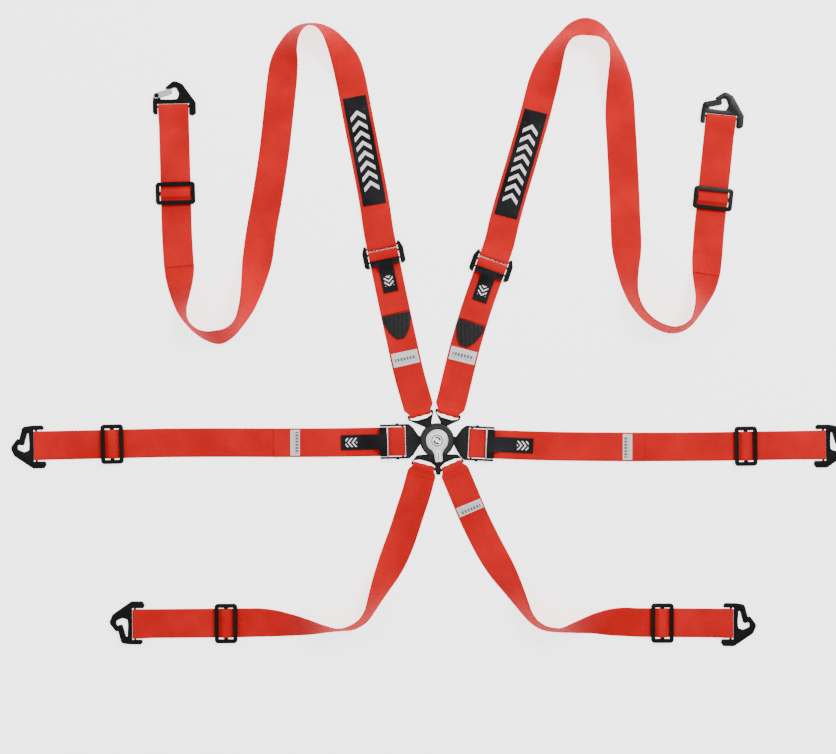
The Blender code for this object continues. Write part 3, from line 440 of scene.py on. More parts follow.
class Shell:
    """A closed body made of level outlines joined by walls and capped by faces."""

    def __init__(self):
        self.bm = bmesh.new()

    def ring(self, loop, z):
        return [self.bm.verts.new((x, y, z)) for x, y in loop]

    def wall(self, low, high):
        count = len(low)
        for i in range(count):
            j = (i + 1) % count
            self.bm.faces.new((low[i], low[j], high[j], high[i]))

    def walls(self, levels):
        """Rings from (outline, height) pairs, each joined to the next."""
        rings = [self.ring(loop, z) for loop, z in levels]
        for low, high in zip(rings, rings[1:]):
            self.wall(low, high)
        return rings

    def cap(self, *rings):
        edges = []
        for ring in rings:
            for a, b in zip(ring, ring[1:] + ring[:1]):
                edges.append(self.bm.edges.get((a, b)) or self.bm.edges.new((a, b)))
        bmesh.ops.triangle_fill(self.bm, edges=edges, use_beauty=True)

    def finish(self, name, paint, place=None):
        bmesh.ops.remove_doubles(self.bm, verts=self.bm.verts, dist=1e-5)
        bmesh.ops.recalc_face_normals(self.bm, faces=self.bm.faces)
        bmesh.ops.scale(self.bm, vec=(MM, MM, MM), verts=self.bm.verts)
        return add(name, self.bm, paint, place)


def add(name, bm, paint, place=None):
    """An object at the origin whose mesh is in its place."""
    mesh = bpy.data.meshes.new(name)
    bm.to_mesh(mesh)
    bm.free()
    if place is not None:
        mesh.transform(place)
    mesh.materials.append(paint.material)
    ob = bpy.data.objects.new(name, mesh)
    bpy.context.scene.collection.objects.link(ob)
    shade(mesh)
    return ob


def shade(mesh, degrees=34):
    """Smooth shading, kept sharp at edges that turn by more than the angle."""
    mesh.shade_smooth()
    mesh.set_sharp_from_angle(angle=math.radians(degrees))


def stands_for(ob, body, slot, *nodes):
    """The piece rides on a body and replaces nodes of the frame; its slot is not used."""
    if nodes:
        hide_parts(*nodes)
    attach(ob, body)
    return ob


def place_at(x, y, z, degrees=0.0):
    """A place in millimetres, turned about Z."""
    return Matrix.Translation((x * MM, y * MM, z * MM)) @ Matrix.Rotation(math.radians(degrees), 4, "Z")


def plate_rings(shell, loops, z0, z1, rim):
    """Walls of a plate whose rims are rounded: returns its bottom and top rings, one per loop."""
    bottoms = []
    tops = []
    for i, loop in enumerate(loops):
        if (area(loop) > 0) != (i == 0):
            loop = loop[::-1]
        levels = []
        for k in range(4):
            a = math.pi / 2 * k / 3
            levels.append((rim * (1 - math.sin(a)), rim * (1 - math.cos(a))))
        steps = [(by, z0 + up) for by, up in levels] + [(by, z1 - up) for by, up in levels[::-1]]
        rings = shell.walls([(inset(loop, by) if by > 0 else loop, z) for by, z in steps])
        bottoms.append(rings[0])
        tops.append(rings[-1])
    return bottoms, tops


def plate(name, loops, z0, z1, paint, rim=0.5, place=None):
    shell = Shell()
    bottoms, tops = plate_rings(shell, loops, z0, z1, rim)
    shell.cap(*bottoms)
    shell.cap(*tops)
    return shell.finish(name, paint, place)


def lathe(name, profile, count, paint):
    """A turned body about Z from a closed profile of (radius, z); radius 0 closes it on the axis."""
    shell = Shell()
    rings = []
    for r, z in profile:
        if r > 0:
            rings.append(shell.ring(circle(0, 0, r, count), z))
        else:
            rings.append(shell.bm.verts.new((0, 0, z)))
    for a, b in zip(rings, rings[1:] + rings[:1]):
        if isinstance(a, list) and isinstance(b, list):
            shell.wall(a, b)
        elif isinstance(a, list) or isinstance(b, list):
            ring, tip = (a, b) if isinstance(a, list) else (b, a)
            for i in range(count):
                shell.bm.faces.new((ring[i], ring[(i + 1) % count], tip))
    return shell.finish(name, paint)


def rod(name, r, half_length, z, paint, count=28, place=None):
    """A round rod along local X at height z, with rounded ends."""
    bm = bmesh.new()
    rings = []
    ends = [(0.75, 0.0), (0.93, 0.12), (1.0, 0.35)]
    stations = [(-half_length + d, r * k) for k, d in ends]
    stations += [(half_length - d, r * k) for k, d in ends[::-1]]
    for x, radius in stations:
        ring = []
        for i in range(count):
            a = 2 * math.pi * i / count
            y = radius * math.cos(a) * MM
            ring.append(bm.verts.new((x * MM, y, (z + radius * math.sin(a)) * MM)))
        rings.append(ring)
    for a, b in zip(rings, rings[1:]):
        for i in range(count):
            bm.faces.new((a[i], a[(i + 1) % count], b[(i + 1) % count], b[i]))
    bm.faces.new(rings[0])
    bm.faces.new(rings[-1])
    bmesh.ops.recalc_face_normals(bm, faces=bm.faces)
    return add(name, bm, paint, place)


# ---- belts ---------------------------------------------------------------------------------------
class Route:
    """A belt's middle line seen from above, through stations (x, y, lean) in millimetres and degrees.

    A positive lean lifts the edge on the left of the direction of travel, a negative one the right.
    Before the first station and after the last it runs straight on.
    """

    STEP = 1.0

    def __init__(self, stations):
        points = [Vector(s) for s in stations]
        first = points[0] * 2 - points[1]
        last = points[-1] * 2 - points[-2]
        first.z = points[0].z
        last.z = points[-1].z
        full = [first] + points + [last]
        self.table = []
        for i in range(1, len(full) - 2):
            count = max(4, int((full[i + 1].xy - full[i].xy).length / self.STEP))
            for k in range(count):
                self.table.append(self.spline(full[i - 1:i + 3], k / count))
        self.table.append(points[-1].copy())
        self.along = [0.0]
        for a, b in zip(self.table, self.table[1:]):
            self.along.append(self.along[-1] + (b.xy - a.xy).length)
        self.length = self.along[-1]

    @staticmethod
    def spline(p, t):
        """Catmull-Rom between p[1] and p[2] with tangents scaled to uneven spacing."""
        d0 = max((p[1].xy - p[0].xy).length, 1e-6)
        d1 = max((p[2].xy - p[1].xy).length, 1e-6)
        d2 = max((p[3].xy - p[2].xy).length, 1e-6)
        m1 = ((p[1] - p[0]) / d0 * d1 + (p[2] - p[1]) / d1 * d0) / (d0 + d1) * d1
        m2 = ((p[2] - p[1]) / d1 * d2 + (p[3] - p[2]) / d2 * d1) / (d1 + d2) * d1
        a = 2 * t ** 3 - 3 * t ** 2 + 1
        b = t ** 3 - 2 * t ** 2 + t
        c = -2 * t ** 3 + 3 * t ** 2
        d = t ** 3 - t ** 2
        out = p[1] * a + m1 * b + p[2] * c + m2 * d
        out.z = min(max(out.z, min(p[1].z, p[2].z)), max(p[1].z, p[2].z))
        return out

    def at(self, s):
        """(position, direction, lean in radians) at the distance s."""
        if s <= 0:
            way = (self.table[2] - self.table[0]).xy.normalized()
            return self.table[0].xy + way * s, way, math.radians(self.table[0].z)
        if s >= self.length:
            way = (self.table[-1] - self.table[-3]).xy.normalized()
            return self.table[-1].xy + way * (s - self.length), way, math.radians(self.table[-1].z)
        low, high = 0, len(self.along) - 1
        while high - low > 1:
            half = (low + high) // 2
            if self.along[half] <= s:
                low = half
            else:
                high = half
        part = (s - self.along[low]) / (self.along[high] - self.along[low])
        here = self.table[low].lerp(self.table[high], part)
        before = self.table[max(low - 2, 0)]
        after = self.table[min(high + 2, len(self.table) - 1)]
        return here.xy, (after - before).xy.normalized(), math.radians(here.z)


def ease(t):
    return t * t * (3 - 2 * t)


class Belt:
    """Webbing swept along a route; the track is its side view, (distance, height)."""

    def __init__(self, route, width):
        self.route = route
        self.width = width
        self.track = []
        self.widths = []
        self.shifts = []

    def put(self, s, z, width=None, shift=0.0):
        self.track.append((s, z))
        self.widths.append(width or self.width)
        self.shifts.append(shift)

    def run(self, s0, s1, z0, z1=None, w0=None, w1=None, pitch=3.5, shift=(0.0, 0.0)):
        """Along the route from s0 to s1, easing from height z0 to z1 and from width w0 to w1."""
        z1 = z0 if z1 is None else z1
        w0 = w0 or self.width
        w1 = w1 or w0
        count = max(4, int(abs(s1 - s0) / pitch))
        for k in range(count + 1):
            part = k / count
            s = s0 + (s1 - s0) * part
            z = z0 + (z1 - z0) * ease(part)
            if self.track and abs(self.track[-1][0] - s) + abs(self.track[-1][1] - z) < 0.05:
                continue
            gathered = w0 + (w1 - w0) * (ease(part) if w0 < w1 else 1 - ease(1 - part))
            self.put(s, z, gathered, shift[0] + (shift[1] - shift[0]) * ease(part))

    def bight(self, s, outward, rising, width=None, shift=0.0, count=14):
        """Half a turn round the bar at s, bulging towards outward (+1 or -1)."""
        for k in range(1, count):
            a = math.pi * k / count
            drop = -math.cos(a) if rising else math.cos(a)
            self.put(s + outward * BIGHT_R * math.sin(a), AXIS_Z + BIGHT_R * drop, width, shift)

    def start_under(self, tail, slack=30.0, neck=None):
        """The tail comes in on the ground, turns up round the bar at 0 and lies under the belt."""
        if neck:
            self.run(tail, 13, LOW)
            self.run(13, 0, LOW, LOW, self.width, neck, 1.2)
        else:
            self.run(tail, 0, LOW)
        self.bight(0, -1, True, neck)
        if neck:
            turn = TOP + (MID - TOP) * ease(13 / slack)
            self.run(0, 13, TOP, turn, neck, self.width, 1.2)
            self.run(13, slack, turn, MID)
        else:
            self.run(0, slack, TOP, MID)
        self.run(slack, tail + 4, MID)
        self.run(tail + 4, tail + 24, MID, LOW)

    def end_over(self, tail, slack, shift=0.0):
        """The belt turns up round the bar at its end and comes back on top of itself."""
        last = self.route.length
        self.run(self.track[-1][0], last, LOW)
        self.bight(last, 1, True)
        self.run(last, last - slack, TOP, MID)
        self.run(last - slack, last - tail, MID, shift=(0.0, shift))

    def end_under(self, tail, slack=30.0):
        """The belt rises over its own tail, turns down round the bar at its end and lies below."""
        last = self.route.length
        self.run(self.track[-1][0], last - tail - 24, LOW)
        self.run(last - tail - 24, last - tail - 4, LOW, MID)
        self.run(last - tail - 4, last - slack, MID)
        self.run(last - slack, last, MID, TOP)
        self.bight(last, 1, False)
        self.run(last, last - tail, LOW)

    def frame_at(self, s, z, width, shift=0.0):
        here, way, lean = self.route.at(s)
        left = Vector((-way.y, way.x, 0))
        side = left * math.cos(lean) + Vector((0, 0, 1)) * math.sin(lean)
        rise = abs(math.sin(lean)) * width / 2
        return Vector((here.x, here.y, z + rise)) + left * shift, side

    def frames(self):
        rows = zip(self.track, self.widths, self.shifts)
        return [self.frame_at(s, z, width, shift) for (s, z), width, shift in rows]

    def long(self):
        middles = [centre for centre, _ in self.frames()]
        return sum((b - a).length for a, b in zip(middles, middles[1:]))

    def on_top(self, s, across, z):
        """A point on the belt and the direction out of it there, in metres."""
        centre, side = self.frame_at(s, z, self.width)
        _, way, _ = self.route.at(s)
        out = side.cross(Vector((way.x, way.y, 0)))
        if out.z < 0:
            out = -out
        return (centre + side * across) * MM, out

    def solid(self, name, paint, thickness=WEB_T, ruffle=0.0, steps=12):
        """The webbing: rounded selvages, a thin body, and (across, along) in metres as its UV map."""
        frames = self.frames()
        half = thickness / 2
        places = [0.975 * (-1 + 2 * k / steps) for k in range(steps + 1)]
        top = [(u, half * (1.0 if abs(u) < 0.9 else 0.94)) for u in places]
        under = [(u, -t) for u, t in top[::-1]]
        right = [(0.993, half * 0.6), (1.0, 0.0), (0.993, -half * 0.6)]
        left = [(-u, -t) for u, t in right]
        section = top + right + under + left
        bm = bmesh.new()
        uv = bm.loops.layers.uv.new(WEAVE)
        rings = []
        along = 0.0
        marks = []
        for i, (centre, side) in enumerate(frames):
            before = frames[max(i - 1, 0)][0]
            after = frames[min(i + 1, len(frames) - 1)][0]
            if i:
                along += (centre - frames[i - 1][0]).length
            up = (after - before).normalized().cross(side).normalized()
            w = self.widths[i]
            pinch = (self.width - w) / self.width
            ring = []
            for u, t in section:
                wave = ruffle * pinch * math.cos(3 * math.pi * u) * 3.0
                p = centre + side * (u * w / 2) + up * (t + wave)
                ring.append(bm.verts.new(p * MM))
            rings.append(ring)
            marks.append(along * MM)
        count = len(section)

        def face(corners, places):
            made = bm.faces.new(corners)
            for loop, place in zip(made.loops, places):
                loop[uv].uv = place

        for i, (a, b) in enumerate(zip(rings, rings[1:])):
            for k in range(count):
                n = (k + 1) % count
                u0 = section[k][0] * self.width / 2 * MM
                u1 = section[n][0] * self.width / 2 * MM
                places = ((u0, marks[i]), (u1, marks[i]), (u1, marks[i + 1]), (u0, marks[i + 1]))
                face((a[k], a[n], b[n], b[k]), places)
        for ring, mark in ((rings[0], marks[0]), (rings[-1][::-1], marks[-1])):
            face(ring, [(0.0, mark)] * count)
        bmesh.ops.recalc_face_normals(bm, faces=bm.faces)
        return add(name, bm, paint)


def ribbon(name, profile, width, thickness, paint, place=None):
    """A short piece of webbing across local X that follows a side profile of (y, z)."""
    class Flat:
        length = 0.0

        @staticmethod
        def at(s):
            return Vector((0, s)), Vector((0, 1)), 0.0

    belt = Belt(Flat, width)
    for y, z in profile:
        belt.put(y, z)
    ob = belt.solid(name, paint, thickness, steps=8)
    if place is not None:
        ob.data.transform(place)
    return ob


# ---- where the belts run -------------------------------------------------------------------------
SHOULDER_LOWER = {
    "left": [
        (-28, 44, 0), (-34.1, 66, 0), (-45.5, 106, 0), (-58.5, 163, 0), (-73, 230, 0), (-90, 312, 0),
    ],
    "right": [
        (18.5, 45, 0), (24.7, 66, 0), (32.5, 98, 0), (48, 160, 0), (65, 216.5, 0), (92, 294, 0),
    ],
}
SHOULDER_UPPER = {
    "left": [
        (-103.5, 390, 0), (-121, 483, 0), (-134, 550, 0), (-139, 577, 0), (-144.5, 604, 6),
        (-152, 630, 20), (-165, 655, 44), (-180, 675, 61), (-196, 685.5, 71), (-211, 687.5, 73),
        (-226, 682.5, 66), (-238, 671, 57), (-248.5, 650, 41), (-254.5, 626, 16), (-258, 600, 3),
        (-263.5, 550, 0), (-271, 483, 0), (-283, 403, 0), (-294, 340, 0), (-298, 304, -14),
        (-302.5, 272, -38), (-308, 244, -54), (-316, 217, -67), (-329, 192, -77), (-345, 177, -72),
        (-362, 170.5, -65), (-380, 172, -72), (-398, 180.5, -78), (-413, 196, -76), (-421.5, 216, -62),
        (-425, 240, -42), (-427, 262, -22), (-429.5, 288, 0), (-431.5, 314, 0),
        (-433, 340, 0), (-435, 411.7, 0), (-437, 483.3, 0), (-439, 555, 0),
    ],
    "right": [
        (112, 363, 0), (146.5, 483, 0), (165.5, 550, 0), (171, 572, 0), (179.5, 604, -17),
        (189, 632, -40), (199.5, 653, -56), (212.5, 669, -60), (228, 680, -50), (246, 685, -42),
        (263, 681, -46), (277, 671, -57), (289, 655, -64), (297.5, 632, -53), (302, 604, -34),
        (304, 572, -16), (305, 545, -4), (308.5, 483, 0), (312.5, 403, 0), (314.5, 345, 6),
        (314.5, 315, 26), (315, 285, 50), (317.5, 259, 65), (323, 237, 75), (334, 216, 81),
        (350, 199, 82), (369, 187.5, 81), (390, 182.5, 79), (408, 187, 76), (420, 196.5, 74),
        (429, 212, 67), (437, 232, 54), (443.5, 255, 32), (447.5, 280, 12), (450, 306, 0),
        (453, 345, 0), (459.5, 409, 0), (466, 473, 0), (472.5, 537, 0),
    ],
}
LAP = {
    "left": [
        (-666.5, -9.5, 0), (-600, -8, 0), (-533.5, -6.5, 0), (-467, -5, 0), (-380, -4.3, 0),
        (-250, -4.5, 0), (-160, -4, 0), (-100, -3, 0), (-57, -2, 0),
    ],
    "right": [
        (642.4, -8, 0), (576, -9, 0), (509.6, -10, 0), (443.2, -11, 0), (345, -11.5, 0),
        (250, -11, 0), (185, -10, 0), (120, -8, 0), (57, -5, 0),
    ],
}
CROTCH = {
    "left": [
        (-22.5, -44, 0), (-28, -64.5, 0), (-35, -90, 0), (-44, -117, 0), (-57, -157, 0),
        (-68, -186, -8), (-80, -214, -26), (-92, -239, -44), (-102, -261, -58), (-111, -281, -68),
        (-123, -298, -70), (-141, -309, -72), (-162, -312.5, -76), (-184, -311.5, -67),
        (-208, -309.5, -52), (-243, -306, -32), (-280, -304, -10), (-305, -304, 0),
        (-327, -304.5, 0), (-385.5, -305, 0), (-444, -305.5, 0), (-502.4, -306, 0),
    ],
    "right": [
        (25, -43, 0), (33, -61.5, 0), (45, -90, 0), (62, -130, 0), (75, -157, 0), (89, -184, 6),
        (105, -211, 20), (122, -239, 42), (138, -267, 60), (149, -286, 70), (160, -299, 73),
        (176, -309, 73), (200, -313, 73), (228, -309, 58), (262, -303.5, 36), (293, -302.5, 12),
        (315, -303, 0), (335, -303.8, 0), (386.2, -304.2, 0), (437.4, -304.6, 0), (488.6, -305, 0),
    ],
}
SIDES = ("left", "right")
LAP_BODY = {"left": "buckle", "right": "lap_right"}
FAR_BAR = 10.0                              # from an adjuster's wrapped bar to its upper belt's bar
BELT_END_TAIL = {"shoulder_left": 266.0, "shoulder_right": 262.0}
FREE_TAIL = {"left": 215.0, "right": 288.0}
SLIDER_FROM_HOOK = {
    "shoulder_left": 144.7, "shoulder_right": 136.0, "lap_left": 126.3, "lap_right": 129.0,
    "crotch_left": 151.6, "crotch_right": 114.0,
}


class Spot:
    """A place on the ground with a direction: its own (across, ahead) turned into world (x, y)."""

    def __init__(self, x, y, degrees):
        self.x = x
        self.y = y
        self.degrees = degrees

    def world(self, across, ahead):
        dx, dy = turned(across, ahead, self.degrees - 90)
        return (self.x + dx, self.y + dy)

    def outline(self, corners):
        return [self.world(*c[:2]) + tuple(c[2:]) for c in corners]

    def place(self, across, ahead, z):
        x, y = self.world(across, ahead)
        return place_at(x, y, z, self.degrees - 90)


ROUTES = {}


def spot_on(name, s, back=False):
    """The place at the distance s along a belt, facing along it or back."""
    here, way, _ = ROUTES[name].at(s)
    return Spot(here.x, here.y, math.degrees(math.atan2(way.y, way.x)) + (180 if back else 0))


def hook_spot(belt):
    """Where a belt's hook hangs, facing away from the belt."""
    if belt.startswith("lap"):
        return spot_on(belt, 0, True)
    return spot_on(belt, ROUTES[belt].length)


def slider_spot(belt):
    """A slider's middle, facing its hook."""
    at = SLIDER_FROM_HOOK[belt]
    if belt.startswith("lap"):
        return spot_on(belt, at, True)
    return spot_on(belt, ROUTES[belt].length - at)


def adjuster_spot(name):
    """An adjuster's wrapped bar, facing along the free tail of its belt."""
    return spot_on(name, ROUTES[name].length, True)


for side in SIDES:
    lower = "shoulder_lower_" + side
    ROUTES[lower] = Route(SHOULDER_LOWER[side])
    square = [adjuster_spot(lower).world(0, -FAR_BAR - ahead) + (0,) for ahead in (0, 22)]
    ROUTES["shoulder_" + side] = Route(square + SHOULDER_UPPER[side])
    ROUTES["lap_" + side] = Route(LAP[side])
    ROUTES["crotch_" + side] = Route(CROTCH[side])


# ---- buckle --------------------------------------------------------------------------------------
TONGUE_ANGLES = {
    "shoulder_left": 121.0, "shoulder_right": 66.0, "lap_left": 180.0, "lap_right": 0.0,
    "crotch": 270.0,
}
CROWN_ROUND = 3.2        # radius of the housing's upper rim


def buckle():
    shell = Shell()
    rim = circle(0, 0, BUCKLE_R, 96)
    levels = ((0.8, 0), (0.25, 0.2), (0, 0.7), (0, BASE_T))
    rings = shell.walls([(inset(rim, by) if by else rim, z) for by, z in levels])
    shell.cap(rings[0])
    pads = [rings[-1]]
    clear = sorted((angle, 36 if name == "crotch" else 21) for name, angle in TONGUE_ANGLES.items())
    for (a, after), (b, before) in zip(clear, clear[1:] + [(360, 21)]):
        start, stop = a + after, b - before
        count = max(4, int((stop - start) / 4))
        loop = arc(BUCKLE_R - 1.5, start, stop, count) + arc(22.5, start, stop, count)[::-1]
        foot = shell.ring(loop, BASE_T)
        head = shell.ring(loop, TONGUE_Z + TONGUE_T + GAP)
        shell.wall(foot, head)
        shell.cap(head)
        pads.append(foot)
    shell.cap(*pads)
    base = shell.finish("buckle_base", STEEL)
    stands_for(base, "buckle", "black_steel", "buckle_base_plate")

    roof = BUCKLE_TOP - 2.0
    skirt = TONGUE_Z + TONGUE_T + 2 * GAP
    wide = BUCKLE_R
    crown = [
        (SPINDLE_R + 0.5, roof), (wide - 4.2, roof), (wide - 2.2, roof - 2), (wide - 2.2, skirt),
        (wide - 0.4, skirt), (wide, skirt + 0.5), (wide, skirt + 2.4), (wide - 0.5, skirt + 2.8),
        (wide - 0.5, skirt + 3.4), (wide, skirt + 3.8), (wide, BUCKLE_TOP - CROWN_ROUND),
    ]
    for k in range(1, 7):
        a = math.pi / 2 * k / 6
        out = wide - CROWN_ROUND * (1 - math.cos(a))
        crown.append((out, BUCKLE_TOP - CROWN_ROUND + CROWN_ROUND * math.sin(a)))
    crown += [
        (20.4, BUCKLE_TOP), (20.0, BUCKLE_TOP - 0.5), (19.2, BUCKLE_TOP - 0.5), (18.9, BUCKLE_TOP),
        (SPINDLE_R + 0.5, BUCKLE_TOP),
    ]
    housing = lathe("housing", crown, 120, HOUSING)
    stands_for(housing, "buckle", "housing_plastic", "buckle_housing")

    z = BUCKLE_TOP + 0.2 + GAP
    disc = [turned(LEVER_R, 0, -62 + k * (304 / 84)) for k in range(2, 83)]
    handle = rounded([(-8.6, -16.4), (-6, -LEVER_REACH, 2.5), (6, -LEVER_REACH, 2.5), (8.6, -16.4)])
    waist = [(9.3, -17.2), (7.5, -20.4), (6.5, -24.0)]
    handle = flipped(waist) + handle[1:-1] + waist[::-1]
    outline = [turned(x, y, LEVER_TURN) for x, y in disc + handle]
    lever = plate("lever_plate", [outline], z, z + LEVER_T, SILVER, 0.9)
    stands_for(lever, "release_lever", "silver_metal", "release_lever")
    # painted shade: a thin black strip along the handle's middle stands for the shade in its groove
    rib = rounded([(-0.7, -20, 0.6), (0.7, -20, 0.6), (0.7, -34, 0.6), (-0.7, -34, 0.6)])
    rib = [turned(x, y, LEVER_TURN) for x, y in rib]
    groove_shade_strip = plate("lever_rib", [rib], z + LEVER_T - 0.4, z + LEVER_T + 0.15, STEEL, 0.1)
    stands_for(groove_shade_strip, "release_lever", "silver_metal")

    top = z + LEVER_T + GAP
    disc = lathe("badge_disc", [
        (0, top), (BADGE_R, top), (BADGE_R, top + 0.6), (BADGE_R - 0.2, top + 0.85),
        (BADGE_R - 0.6, top + 0.95), (BADGE_R - 0.9, top + 0.9),
        (BADGE_R - 1.1, top + 0.5), (BADGE_R - 1.9, top + 0.5),
        (BADGE_R - 2.1, top + 0.85), (4.0, top + 1.0), (0, top + 1.05),
    ], 96, BADGE_FACE)
    stands_for(disc, "release_lever", "badge", "lever_badge")
    turning_mark(top + 1.0)


def turning_mark(z):
    """A ring and two curved arrows in dark inlay that show which way the lever turns."""
    loops = [circle(0, 0, 9.5, 64), circle(0, 0, 8.0, 64)]
    ring = plate("turn_ring", loops, z - 0.35, z + 0.06, STEEL, 0.02)
    stands_for(ring, "release_lever", "badge")
    for half in (0, 180):
        shaft = arc(6.2, half + 25, half + 125, 20) + arc(3.6, half + 25, half + 125, 20)[::-1]
        head = [turned(7.4, 0, half + 27), turned(2.4, 0, half + 27), turned(4.9, 0, half - 10)]
        for name, loop in (("turn_arc_", shaft), ("turn_point_", head)):
            ob = plate(name + str(half), [loop], z - 0.3, z + 0.06, STEEL, 0.02)
            stands_for(ob, "release_lever", "badge")


# ---- tongues -------------------------------------------------------------------------------------
HEAD_HALF = NECK_WEB / 2 + 0.5
SLOT_DEEP = 9.5


def tip(angle, reach):
    r = PIN_HOLE_R
    right = [(PIN_AT + r, r, r), (PIN_AT + r, -r, r), (13, -r, 0.5), (13, -5.7, 1.5), (reach, -6.5, 0)]
    left = [(reach, 6.5, 0), (13, 5.7, 1.5), (13, r, 0.5)]
    return [[turned(x, y, angle) + (radius,) for x, y, radius in one] for one in (right, left)]


def gathered_slot(spot):
    return rounded(spot.outline([
        (-HEAD_HALF, -BAR_HALF, 1), (HEAD_HALF, -BAR_HALF, 1), (HEAD_HALF, -5.7, 1),
        (9, -SLOT_DEEP, 2), (-9, -SLOT_DEEP, 2), (-HEAD_HALF, -5.7, 1),
    ]))


def shoulder_tongue(side):
    angle = TONGUE_ANGLES["shoulder_" + side]
    spot = spot_on("shoulder_lower_" + side, 0)
    right, left = tip(angle, 29)
    wide = HEAD_HALF + 3.4
    slim = 3.0 if side == "left" else 6.0
    head = spot.outline([
        (wide, -slim, 1.5), (wide, BAR_HALF, 1.5), (-wide, BAR_HALF, 1.5), (-wide, slim - 9.0, 1.5),
    ])
    loops = [rounded(right + head + left), gathered_slot(spot)]
    ob = plate("tongue_plate_" + side, loops, TONGUE_Z, TONGUE_Z + TONGUE_T, STEEL, 0.9)
    stands_for(ob, "shoulder_" + side, "black_steel", "shoulder_tongue_" + side)


def crotch_tongue():
    left = spot_on("crotch_left", 0)
    right = spot_on("crotch_right", 0)
    wide = HEAD_HALF + 2.6
    fork_right, fork_left = tip(270, 25.5)
    outline = [
        (16, -23.5, 4), (34, -23.5, 7),
        right.world(-wide, -3) + (2,), right.world(-wide, BAR_HALF) + (2,), right.world(wide, BAR_HALF),
        (5.8, -58, 2), (-1.8, -58, 2),
        left.world(-wide, BAR_HALF), left.world(wide, BAR_HALF) + (2,), left.world(wide, -3) + (2,),
        (-34, -25, 7), (-15, -23.5, 4),
    ]
    outline = rounded(outline + fork_right[::-1] + fork_left[::-1])
    loops = [outline, gathered_slot(left), gathered_slot(right)]
    ob = plate("crotch_plate", loops, TONGUE_Z, TONGUE_Z + TONGUE_T, STEEL, 0.9)
    stands_for(ob, "crotch", "black_steel", "crotch_tongue")


# ---- adjusters -----------------------------------------------------------------------------------
ROD_Z = 8.2
ROD_R = 1.5
CHEEK_TOP = 11.0
LEVER_LOW = 7.0
LEVER_HIGH = 9.4
TAB_Z = LEVER_HIGH + GAP + TAB_T / 2
TAB_REST = PAIR + TAB_T / 2
LAP_HINGE = 25.0         # from a frame's wrapped bar to its lever's hinge
SHOULDER_HINGE = 13.0
LAP_TAB_TO = 103.0       # from the same bar to the end of the pull tab
SHOULDER_TAB_TO = 67.0


def frame_with_cheeks(name, outline, holes, cheeks):
    z1 = TONGUE_Z + TONGUE_T
    shell = Shell()
    bottoms, tops = plate_rings(shell, [outline] + holes, TONGUE_Z, z1, 0.4)
    for loop in cheeks:
        if area(loop) < 0:
            loop = loop[::-1]
        rings = shell.walls([
            (loop, z1), (loop, CHEEK_TOP - 0.6), (inset(loop, 0.2), CHEEK_TOP - 0.15),
            (inset(loop, 0.6), CHEEK_TOP),
        ])
        shell.cap(rings[-1])
        tops.append(rings[0])
    shell.cap(*bottoms)
    shell.cap(*tops)
    return shell.finish(name, STEEL)


def clamp_and_tab(name, spot, hinge_at, plate_from, plate_to, rod_half, tab_to, body, lever_body):
    place = spot.place(0, hinge_at, ROD_Z)
    low = LEVER_LOW - ROD_Z
    high = LEVER_HIGH - ROD_Z
    near = plate_from - hinge_at
    far = plate_to - hinge_at
    loop = rounded([(-24.5, near, 0.5), (24.5, near, 0.5), (24.5, far, 2), (-24.5, far, 2)])
    lever = plate(name + "_clamp", [loop], low, high, STEEL, 0.7, place)
    stands_for(lever, lever_body, "black_steel", name + "_lever")
    shoulder = name.startswith("shoulder")
    bar = rod(name + "_pin", ROD_R, rod_half, 0, STEEL if shoulder else ROD, 28, place)
    if shoulder:
        stands_for(bar, lever_body, "black_steel")
    else:
        stands_for(bar, body, "silver_metal", name + "_rod")
    top = TAB_Z - ROD_Z
    rest = TAB_REST - ROD_Z
    profile = [(near + 1.0 + (far - near - 1.5) * k / 4, top) for k in range(5)]
    for k in range(1, 13):
        profile.append((far - 0.5 + 14 * k / 12, top + (rest - top) * ease(k / 12)))
    end = tab_to - hinge_at
    start = far + 13.5
    profile += [(start + (end - start) * k / 14, rest) for k in range(1, 15)]
    tab = ribbon(name + "_webbing", profile, TAB_W, TAB_T, TAB_SHORT if shoulder else TAB_LONG, place)
    stands_for(tab, lever_body, "black_webbing", name + "_tab")


def lap_adjuster(side):
    name = "lap_adjuster_" + side
    body = LAP_BODY[side]
    spot = adjuster_spot("lap_" + side)
    inner = LAP_WEB / 2 + STRAP_SIDE_GAP
    outer = inner + 3.6
    angle = TONGUE_ANGLES["lap_" + side]
    right, left = tip(angle, 27)
    half = [
        (9, -26.5, 3), (outer - 6, -17.5, 4), (outer, -10.5, 3), (outer, 6, 0.4),
        (outer + 1.6, 7, 0.5), (outer + 1.6, 11, 0.5), (outer, 12, 0.4), (outer, 38, 4),
        (inner, 38, 1), (inner, BAR_HALF, 0.5),
    ]
    outline = rounded(right + spot.outline(half + flipped(half[::-1])) + left)
    slot = spot.outline([
        (-inner, -SLOT_EDGE), (inner, -SLOT_EDGE), (inner, -BAR_HALF), (-inner, -BAR_HALF),
    ])
    cheek = [(inner + 0.7, 12), (outer - 0.7, 12), (outer - 0.7, 35), (inner + 0.7, 35)]
    cheeks = [spot.outline(cheek), spot.outline(flipped(cheek))]
    made = frame_with_cheeks(name + "_plate", outline, [slot], cheeks)
    stands_for(made, body, "black_steel", name + "_frame")
    plate_from = LAP_HINGE + ROD_R + GAP
    clamp_and_tab(
        name, spot, LAP_HINGE, plate_from, 38.5, outer + 1.5, LAP_TAB_TO, body, "lap_lever_" + side,
    )


